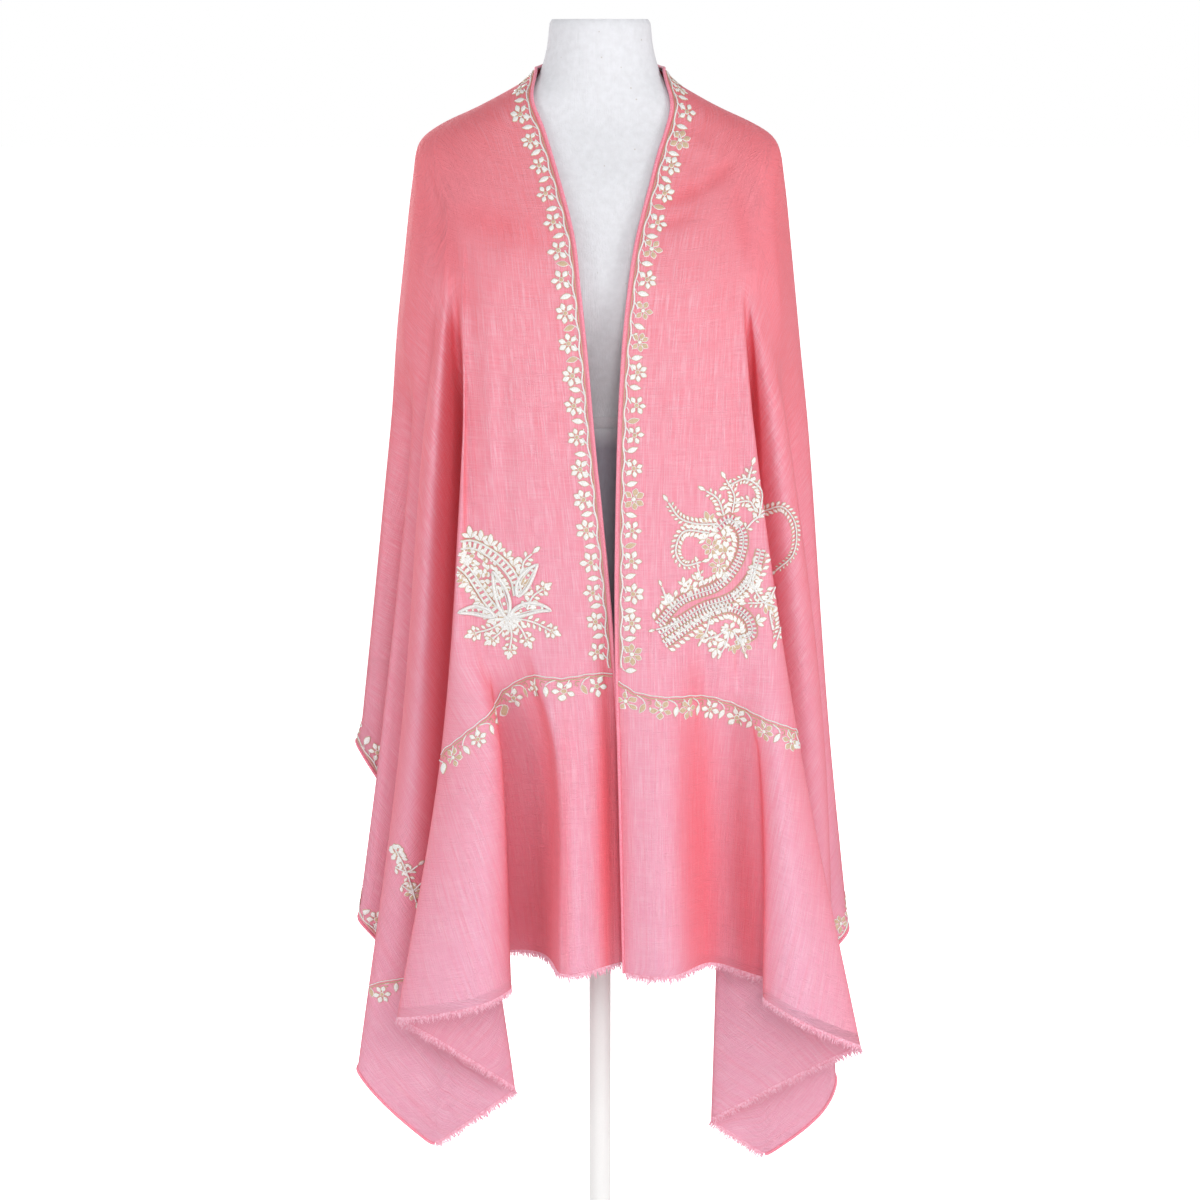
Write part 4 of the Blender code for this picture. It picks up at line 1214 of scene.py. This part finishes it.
class Patch:  # stitches drawn flat and then laid on the cloth
    def __init__(self, name, lay, seed=0):
        self.name, self.lay, self.random = name, lay, np.random.default_rng(seed)
        self.shapes, self.threads = [], []

    def fill(self, outline, gold=False):
        area = sum(a[0] * b[1] - b[0] * a[1] for a, b in zip(outline, [*outline[1:], outline[0]]))
        self.shapes.append((outline if area > 0 else outline[::-1], int(gold)))

    def thread(self, points, radius=thick, gold=False):
        self.threads.append((points, radius, gold))

    def leaf(self, foot, angle, length, width, bend=0, low=1.25, count=3, gold=False):
        self.fill(turnedBy(blade(length, width, bend, low, count), angle, foot), gold)

    def stem(self, points, radius=thick, gold=False, step=0.0015):
        self.thread(curveThrough(points, step), radius, gold)

    def build(self):
        pieces = []
        if self.shapes:
            shape = bmesh.new()
            for outline, gold in self.shapes:
                rim = bmesh.ops.create_circle(shape, cap_ends=True, segments=len(outline), radius=1)["verts"]
                for vertex, (u, v) in zip(rim, outline):
                    vertex.co = (u, v, 0)
                rim[0].link_faces[0].material_index = gold
            bmesh.ops.recalc_face_normals(shape, faces=shape.faces[:])
            inner = shape.faces[:]
            edging = bmesh.ops.inset_individual(shape, faces=inner, thickness=embroidery["rim"],
                                                depth=embroidery["rise"], use_even_offset=False)["faces"]
            for face in edging:
                face.material_index = 1 - face.material_index
            for vertex in bmesh.ops.poke(shape, faces=inner)["verts"]:
                vertex.co.z *= embroidery["middleRise"]
            self.layMesh(shape)
            pieces.append(addPiece(self.name, meshFrom(self.name, shape), silverThread, goldThread,
                                   slotName="pashmina"))
        for gold, material in ((False, silverThread), (True, goldThread)):
            wanted = [(points, radius) for points, radius, isGold in self.threads if isGold == gold]
            if wanted:
                name = self.name + ("GoldThread" if gold else "Thread")
                curve = threadCurve(name, 1.0, 0)
                for points, radius in wanted:
                    laid = [self.lay(u, v) for u, v in points]
                    up = radius * embroidery["threadLift"]
                    addThread(curve, [place + normal * up for place, normal in laid], [radius] * len(laid))
                pieces.append(addPiece(name, curve, material, slotName="pashmina"))
        return pieces

    def layMesh(self, shape):
        for vertex in shape.verts:
            place, normal = self.lay(vertex.co.x, vertex.co.y)
            vertex.co = place + normal * (embroidery["lift"] + abs(vertex.co.z))
            vertex.normal = normal
        for face in shape.faces:
            outward = face.verts[0].normal.copy()
            face.normal_update()
            if face.normal.dot(outward) < 0:
                face.normal_flip()


def turnedBy(points, angle, start):
    c, s = math.cos(angle), math.sin(angle)
    return [(start[0] + c * x - s * y, start[1] + s * x + c * y) for x, y in points]


def blade(length, width, bend=0.0, low=1.0, count=5):
    # an outline from its foot at the origin along x, bent to one side; low < 1 is widest near the foot
    spine, angle = [(0.0, 0.0)], 0.0
    steps = 2 * count
    for i in range(steps):
        angle = bend * (i + 0.5) / steps
        x, y = spine[-1]
        spine.append((x + math.cos(angle) * length / steps, y + math.sin(angle) * length / steps))
    sides = ([], [])
    for i in range(1, steps, 2):
        half = width / 2 * math.sin(math.pi * (i / steps)**low)**0.85
        angle = bend * i / steps
        for side, sign in zip(sides, (1, -1)):
            x, y = spine[i]
            side.append((x - sign * math.sin(angle) * half, y + sign * math.cos(angle) * half))
    return [spine[0], *sides[1], spine[-1], *sides[0][::-1]]


def curveThrough(points, step=0.0018):  # a smooth run of places through a few
    points = np.array(points, float)
    reach = lengthsAlong(points)
    knots = list(zip(reach, points))
    count = max(int(reach[-1] / step), 3)
    return [tuple(smoothBetween(knots, at)) for at in np.linspace(0, reach[-1], count)]


def offsetRun(points, distance):
    run = np.array(points)
    along = unit(np.gradient(run, axis=0))
    return [tuple(place) for place in run + np.stack([-along[:, 1], along[:, 0]], axis=1) * distance]


def dot(radius, corners):
    turns = [2 * math.pi * i / corners for i in range(corners)]
    return [(radius * math.cos(turn), radius * math.sin(turn)) for turn in turns]


def heading(here, ahead):
    return math.atan2(ahead[1] - here[1], ahead[0] - here[0])


def flower(patch, centre, radius, away, petals, gold=False, span=2 * math.pi):
    for i in range(petals):
        angle = away + span * ((i + 0.5) / petals - 0.5) + patch.random.normal(0, 0.06)
        length = radius * patch.random.uniform(0.74, 0.84)
        foot = turnedBy([(radius * 0.2, 0)], angle, centre)[0]
        patch.leaf(foot, angle, length, length * 0.72, low=1.15, count=4, gold=gold)
    patch.fill(turnedBy(dot(radius * 0.24, 8), 0, centre), not gold)


def bud(patch, foot, length, width, angle, gold=False):
    patch.leaf(foot, angle, length, width, patch.random.uniform(-0.3, 0.3), 0.85, 4, gold)


def evenly(first, last, pitch):  # the nearest pitch that fits a run, and the middles it gives
    count = max(round((last - first) / pitch), 1)
    pitch = (last - first) / count
    return pitch, [first + pitch * (i + 0.5) for i in range(count)]


border = {
    "pitch": 0.03,
    "step": 0.0022,
    "lines": (0.0026, 0.0042),  # metres in from the edge
    "wave": 0.0009,
    "flowerIn": 0.0142,
    "flowerRadius": 0.0103,
    "leaf": (0.012, 0.0062),
    "smallLeaf": (0.0052, 0.0027),
    "gold": 0.2,
    "overlap": 0.002,  # past the bands of the two ends
    "fromFringe": 0.29,
}


def borderAlong(name, trail, first, last, seed):
    patch = Patch(name, besideTrail(trail), seed)
    random = patch.random
    depth, (outer, inner) = border["flowerIn"], border["lines"]
    pitch, places = evenly(first, last, border["pitch"])
    run = np.arange(first, last, border["step"])
    patch.thread([(u, outer) for u in run], fine, gold=True)
    patch.thread([(u, inner + border["wave"] * math.sin(2 * math.pi * (u - first) / pitch)) for u in run],
                 thick * 1.15)
    for u in places:
        u += random.normal(0, 0.0008)
        size = border["flowerRadius"] * random.uniform(0.92, 1.08)
        centre = (u, depth + random.normal(0, 0.0004))
        gold = random.random() < border["gold"]
        flower(patch, centre, size, math.pi / 2, 5 if random.random() < 0.45 else 6, gold, 5.6)
        patch.stem([(u - 0.0085, inner), (u - 0.005, inner + 0.003), (u - 0.001, depth - size * 0.5)])
        bend = random.choice((-1, 1))
        sprig = [(0.002, 0.001), (0.0055, 0.0035), (0.0075, 0.003)]
        patch.stem([(u + out, inner + up) for out, up in sprig], fine)
        foot = (u + pitch / 2 + bend * 0.0012, inner + 0.0025)
        patch.thread([(foot[0] - 0.004, inner), (foot[0] - 0.0015, inner + 0.0012), foot], fine)
        bud(patch, foot, *border["leaf"], math.pi / 2 + bend * random.uniform(0.05, 0.3),
            random.random() < border["gold"] * 0.7)
        if random.random() < 0.6:
            bud(patch, (u - 0.0065, inner + 0.003), *border["smallLeaf"], math.pi * 0.62)
    return patch.build()


palla = {  # the band across each end
    "pitch": 0.031,
    "step": 0.0018,
    "lines": ((0, 0.00062), (0.0026, 0.00066)),  # how far down each is, and its radius
    "flowerIn": 0.0125,
    "flowerRadius": 0.01,
    "leafIn": 0.0085,
    "leaf": (0.0115, 0.006),
    "smallLeaf": (0.0055, 0.003),
    "gold": 0.4,
    "start": 0.001,
    "end": 0.003,
    "wayDown": 0.012,  # to the points that show which way down is
}
# Height of the band's twin line at each distance out from the middle, by side
pallaHeights = {
    -1: [(0.008, 0.882), (0.036, 0.878), (0.063, 0.88), (0.078, 0.873), (0.095, 0.861), (0.104, 0.845),
         (0.128, 0.826), (0.151, 0.805), (0.16, 0.785)],
    1: [(0.008, 0.885), (0.021, 0.874), (0.034, 0.866), (0.058, 0.862), (0.088, 0.861), (0.109, 0.857),
        (0.127, 0.851), (0.152, 0.84), (0.176, 0.831), (0.19, 0.823), (0.199, 0.8)],
}


def pallaTrail(side, first, last):
    low, high = stretchOf(side, first, last)
    columns = list(range(low, high + 1))[::-side]
    out, heights = zip(*pallaHeights[side])
    points, below = [], []
    for column in columns:
        line = grid[:, column]
        z = heights[0]
        for _ in range(4):
            x = np.interp(-z, -line[:, 2], np.abs(line[:, 0]))
            z = np.interp(x, out, heights)
        for drop, kept in ((0, points), (palla["wayDown"], below)):
            kept.append([np.interp(-(z - drop), -line[:, 2], line[:, k]) for k in range(3)])
    return Trail(points, below, columns, step=0.0015, smooth=8)


def pallaAlong(name, trail, first, last, seed):
    patch = Patch(name, besideTrail(trail), seed)
    random = patch.random
    for down, radius in palla["lines"]:
        patch.thread([(u, down + 0.0003 * math.sin(u * 400)) for u in np.arange(first, last, palla["step"])],
                     radius, gold=down > 0)
    pitch, places = evenly(first, last, palla["pitch"])
    depth, low = palla["flowerIn"], palla["lines"][1][0] - 0.0002
    for u in places:
        u += random.normal(0, 0.001)
        gold = random.random() < palla["gold"]
        size = palla["flowerRadius"] * random.uniform(0.92, 1.08)
        flower(patch, (u, depth), size, math.pi / 2 + random.normal(0, 0.2), random.choice((5, 6)), gold)
        patch.stem([(u - 0.006, low), (u - 0.003, 0.006), (u, depth - size * 0.4)])
        side = random.choice((-1, 1))
        x, y = u + pitch * 0.5, palla["leafIn"]
        patch.stem([(x - side * 0.009, low), (x - side * 0.003, 0.0052), (x, y)])
        bud(patch, (x, y), *palla["leaf"], math.pi / 2 + side * 0.25, random.random() < palla["gold"])
        patch.stem([(x + side * out, up) for out, up in ((0.001, 0.006), (0.0045, 0.005), (0.0055, 0.0085),
                                                         (0.0035, 0.0095))], fine, True, 0.0012)
        if random.random() < 0.5:
            bud(patch, (x + side * 0.005, y + 0.002), *palla["smallLeaf"], math.pi / 2 - side * 0.3)
    return patch.build()


def fern(patch, points, leaf=0.008, pitch=0.004):
    patch.thread(curveThrough(points), thick * 1.4)
    spots = curveThrough(points, pitch)
    for i, (here, ahead) in enumerate(zip(spots, spots[1:])):
        angle = heading(here, ahead)
        size = leaf * (1.0 - 0.45 * i / len(spots))
        for side in (-1, 1):
            foot = turnedBy([(0, side * 0.0006)], angle, here)[0]
            patch.leaf(foot, angle + side * embroidery["leafTurn"], size, size * 0.6, low=1.3)
    patch.leaf(spots[-1], angle, leaf * 1.2, leaf * 0.6, low=1.3)


def rails(patch, points, gap=0.005, rung=0.0034, leafSide=1):
    run = curveThrough(points)
    patch.thread(run)
    for side in (-1, 1):
        patch.thread(offsetRun(run, side * gap), fine, gold=True)
        spots = curveThrough(points, rung)
        for one, other in zip(offsetRun(spots, side * gap * 0.18), offsetRun(spots, side * gap * 0.82)):
            patch.thread([one, other], thick * 1.6)
    spots = offsetRun(curveThrough(points, 0.0052), leafSide * (gap + 0.0005))
    for one, ahead in zip(spots, spots[1:]):
        patch.leaf(one, heading(one, ahead) + leafSide * embroidery["leafTurn"], 0.008, 0.0048, low=1.2)


def band(patch, points, half):  # two thick rails with a row of blocks between them
    run = curveThrough(points)
    for side in (-1, 1):
        patch.thread(offsetRun(run, side * half), thick * 1.5)
        patch.thread(offsetRun(run, side * half * 1.3), fine, gold=True)
    spots = curveThrough(points, 0.0048)
    block = [(0.0003, -half * 0.8), (0.004, -half * 0.8), (0.004, half * 0.8), (0.0003, half * 0.8)]
    for here, ahead in zip(spots, spots[1:]):
        patch.fill(turnedBy(block, heading(here, ahead), here))


def tuft(patch, foot, angle, size, gold=False):
    for turn, share in ((0, 1.0), (-0.85, 0.8), (0.85, 0.8)):
        patch.leaf(foot, angle + turn, size * share, size * share * 0.52, gold=gold)


def tuftsBeside(patch, points, away, pitch, size):
    spots, random = curveThrough(points, pitch), patch.random
    turn = math.copysign(math.pi / 2, away)
    for here, ahead, foot in zip(spots, spots[1:], offsetRun(spots, away)):
        tuft(patch, foot, heading(here, ahead) + turn * random.uniform(0.75, 1.0),
             size * random.uniform(0.8, 1.12), random.random() < 0.25)


def paisley(patch, foot, length, width, angle, bend):
    outline = turnedBy(blade(length, width, bend, 0.8, 12), angle, foot)
    half = len(outline) // 2
    spine = [np.add(one, other) / 2 for one, other in zip(outline[1:half], outline[:half:-1])]
    spine = [np.array(outline[0]), *spine, np.array(outline[half])]

    def ringAt(part):
        return [tuple(spine[min(i, 2 * half - i)] * (1 - part) + np.array(place) * part)
                for i, place in enumerate(outline)]

    patch.thread([*outline, outline[0]], fine, gold=True)
    for part, wider in ((0.84, 2.3), (0.44, 1.0)):
        ring = ringAt(part)
        patch.thread([*ring, ring[0]], thick * wider)
    for place in spine[2:-2:2]:
        patch.fill(turnedBy(dot(width * 0.15, 6), 0, place))


def leftBouquet():
    patch = Patch("leftBouquet", fromFront(-1, "edge", "flareFold"), seed=31)
    random = patch.random
    foot = (-0.089, 0.935)
    over = [(-0.0785, 0.957), (-0.0815, 0.972), (-0.092, 0.9865), (-0.106, 0.9975), (-0.12, 1.004),
            (-0.1335, 1.0045)]
    under = [(-0.096, 0.937), (-0.1075, 0.9495), (-0.1165, 0.963), (-0.125, 0.9755), (-0.134, 0.986)]
    band(patch, over, 0.0037)
    band(patch, under, 0.0034)
    tuftsBeside(patch, over, -0.0056, 0.0074, 0.0118)
    tuftsBeside(patch, under, 0.0052, 0.0062, 0.0104)
    overRun, underRun = curveThrough(over), curveThrough(under)
    for share in (0.2, 0.33, 0.46, 0.59, 0.72, 0.85):
        for along in np.arange(0.16, 0.99, 0.058):
            one, other = (run[int(along * (len(run) - 1))] for run in (overRun, underRun))
            place = (one[0] + (other[0] - one[0]) * share, one[1] + (other[1] - one[1]) * share)
            angle = 2.3 + random.choice((-0.8, 0.8)) + random.normal(0, 0.15)
            bud(patch, place, 0.0066, 0.0046, angle, random.random() < 0.2)
    for place, length, width, degrees, bend in (
            (foot, 0.046, 0.015, 100, 0.25), ((-0.0785, 0.956), 0.037, 0.0135, 72, -0.45),
            ((-0.086, 0.935), 0.042, 0.013, 44, -1.15), ((-0.101, 0.935), 0.036, 0.0105, 152, 0.75)):
        paisley(patch, place, length, width, math.radians(degrees), bend)
    for place, degrees, reach in (
            (foot, 208, 0.036), (foot, 236, 0.026), (foot, 274, 0.032), (foot, 312, 0.028), (foot, 344, 0.044),
            ((-0.07, 0.944), 52, 0.025), ((-0.0745, 0.98), 62, 0.02)):
        angle = math.radians(degrees)
        run = turnedBy([(0, 0), (reach * 0.5, 0.003), (reach, 0)], angle, place)
        fern(patch, run, 0.0092, 0.005)
        if reach > 0.022:
            flower(patch, run[-1], 0.0084, angle, 5, span=4.6)
    flower(patch, foot, 0.008, math.pi / 2, 6, gold=True)
    return patch.build()


def leftTailSprays():  # the parts that show on the layers further back
    patch = Patch("leftTailSprays", fromFront(-1, "tailCorner", "tailFold"), seed=23)
    fern(patch, [(-0.206, 0.69), (-0.196, 0.672), (-0.19, 0.655), (-0.184, 0.632)], 0.0085, 0.0062)
    for points in ([(-0.204, 0.668), (-0.192, 0.664), (-0.182, 0.67)],
                   [(-0.198, 0.65), (-0.188, 0.644), (-0.178, 0.652)]):
        fern(patch, points, 0.0075, 0.006)
    flower(patch, (-0.202, 0.682), 0.01, 2.4, 6)
    flower(patch, (-0.187, 0.642), 0.0092, 4.0, 6, gold=True)
    for down, gold in ((0.0, False), (0.0026, True)):
        patch.stem([(x, z - down) for x, z in ((-0.235, 0.538), (-0.222, 0.545), (-0.206, 0.549),
                                               (-0.19, 0.552))], 0.0006, gold, 0.0018)
    flower(patch, (-0.22, 0.532), 0.0098, -1.4, 6)
    bud(patch, (-0.205, 0.546), 0.011, 0.0058, -1.7)
    bud(patch, (-0.232, 0.537), 0.01, 0.0054, -1.3, gold=True)
    return patch.build()


def rightScrolls():
    patch = Patch("rightScrolls", fromFront(1, "edge", "flareFold"), seed=17)
    random = patch.random
    for side, points in (
            (1, [(0.056, 0.932), (0.078, 0.954), (0.112, 0.966), (0.132, 0.988), (0.137, 1.013), (0.124, 1.03),
                 (0.11, 1.022)]),
            (-1, [(0.058, 0.922), (0.094, 0.944), (0.128, 0.956), (0.148, 0.978), (0.154, 0.999)]),
            (-1, [(0.062, 0.913), (0.094, 0.934), (0.122, 0.945), (0.142, 0.934), (0.146, 0.918),
                  (0.132, 0.912)])):
        rails(patch, points, leafSide=side)
    for points in (
            [(0.112, 1.026), (0.092, 1.027), (0.076, 1.033), (0.065, 1.048)],
            [(0.104, 1.018), (0.08, 1.02), (0.072, 1.002), (0.08, 0.988), (0.096, 0.99)],
            [(0.118, 1.034), (0.112, 1.05), (0.101, 1.058)],
            [(0.126, 1.036), (0.128, 1.052), (0.12, 1.068)],
            [(0.152, 1.03), (0.154, 1.056), (0.14, 1.068), (0.122, 1.062)],
            [(0.149, 1.038), (0.143, 1.046), (0.128, 1.045)],
            [(0.141, 1.066), (0.145, 1.08)],
            [(0.128, 0.952), (0.142, 0.965), (0.147, 0.985)],
            [(0.15, 0.985), (0.147, 0.968), (0.156, 0.95), (0.168, 0.944)],
            [(0.168, 0.962), (0.16, 0.95), (0.142, 0.948)],
            [(0.172, 0.944), (0.174, 0.926), (0.17, 0.912)]):
        fern(patch, points)
    for x, z, turn in ((0.124, 0.922, -1.6), (0.106, 0.915, -2.3), (0.138, 0.908, -1.0), (0.118, 1.012, 1.2),
                       (0.113, 0.986, -1.7), (0.086, 0.966, 2.2), (0.106, 1.004, 0.4), (0.119, 1.0, 2.9)):
        flower(patch, (x, z), 0.0094, turn, 6, gold=random.random() < 0.5)
    for x, z, degrees in ((0.104, 1.028, 110), (0.112, 1.018, 200), (0.117, 1.006, 250), (0.107, 1.0, 300),
                          (0.121, 0.994, 30), (0.101, 1.012, 160), (0.128, 1.028, 340), (0.118, 0.98, 280),
                          (0.12, 0.914, 230), (0.112, 0.906, 250), (0.128, 0.908, 280), (0.134, 0.916, 320),
                          (0.1, 0.92, 200), (0.08, 0.968, 95), (0.092, 0.972, 75), (0.066, 0.95, 110),
                          (0.148, 0.96, 60), (0.158, 0.946, 330), (0.15, 0.93, 20)):
        tuft(patch, (x, z), math.radians(degrees), random.uniform(0.009, 0.0125), random.random() < 0.3)
    for x, z, degrees in ((0.124, 0.922, 250), (0.122, 0.924, 205), (0.128, 0.92, 300), (0.105, 0.935, 250),
                          (0.14, 1.02, 40), (0.1, 0.968, 110), (0.07, 0.948, 120), (0.074, 0.934, 200)):
        run = turnedBy([(0, 0), (0.011, 0.0015), (0.022, 0)], math.radians(degrees), (x, z))
        fern(patch, run, 0.0064, 0.0056)
    made = patch.build()
    beyond = Patch("rightScrollBeyond", fromFront(1, "tailCorner", "tailFold", rim=-0.05))
    fern(beyond, [(0.158, 1.03), (0.176, 1.036), (0.189, 1.018), (0.188, 0.99), (0.172, 0.972)], 0.0068)
    return made + beyond.build()


borderEnd = float(np.interp(-pallaHeights[1][0][1], -grid[:, -1, 2], np.arange(lastRow + 1)))
onCloth = [upperHem, lowerHem, leftFringe, rightFringe]
frontLeft, frontRight = (float(lengthsAlong(grid[int(borderEnd):, column])[-1]) for column in (0, -1))
overlap, fringeGap = border["overlap"], border["fromFringe"]
onCloth += borderAlong("upperBorder", upperEdge, frontLeft - overlap,
                       upperEdge.length - frontRight + overlap, 3)
onCloth += borderAlong("lowerBorder", lowerEdge, fringeGap, lowerEdge.length - fringeGap, 8)
for side, name in ((-1, "leftPalla"), (1, "rightPalla")):
    trail = pallaTrail(side, "edge", "flareFold")
    onCloth += pallaAlong(name, trail, palla["start"], trail.length - palla["end"], 5 + side)
onCloth += leftBouquet() + leftTailSprays() + rightScrolls()


print("stage: finish")
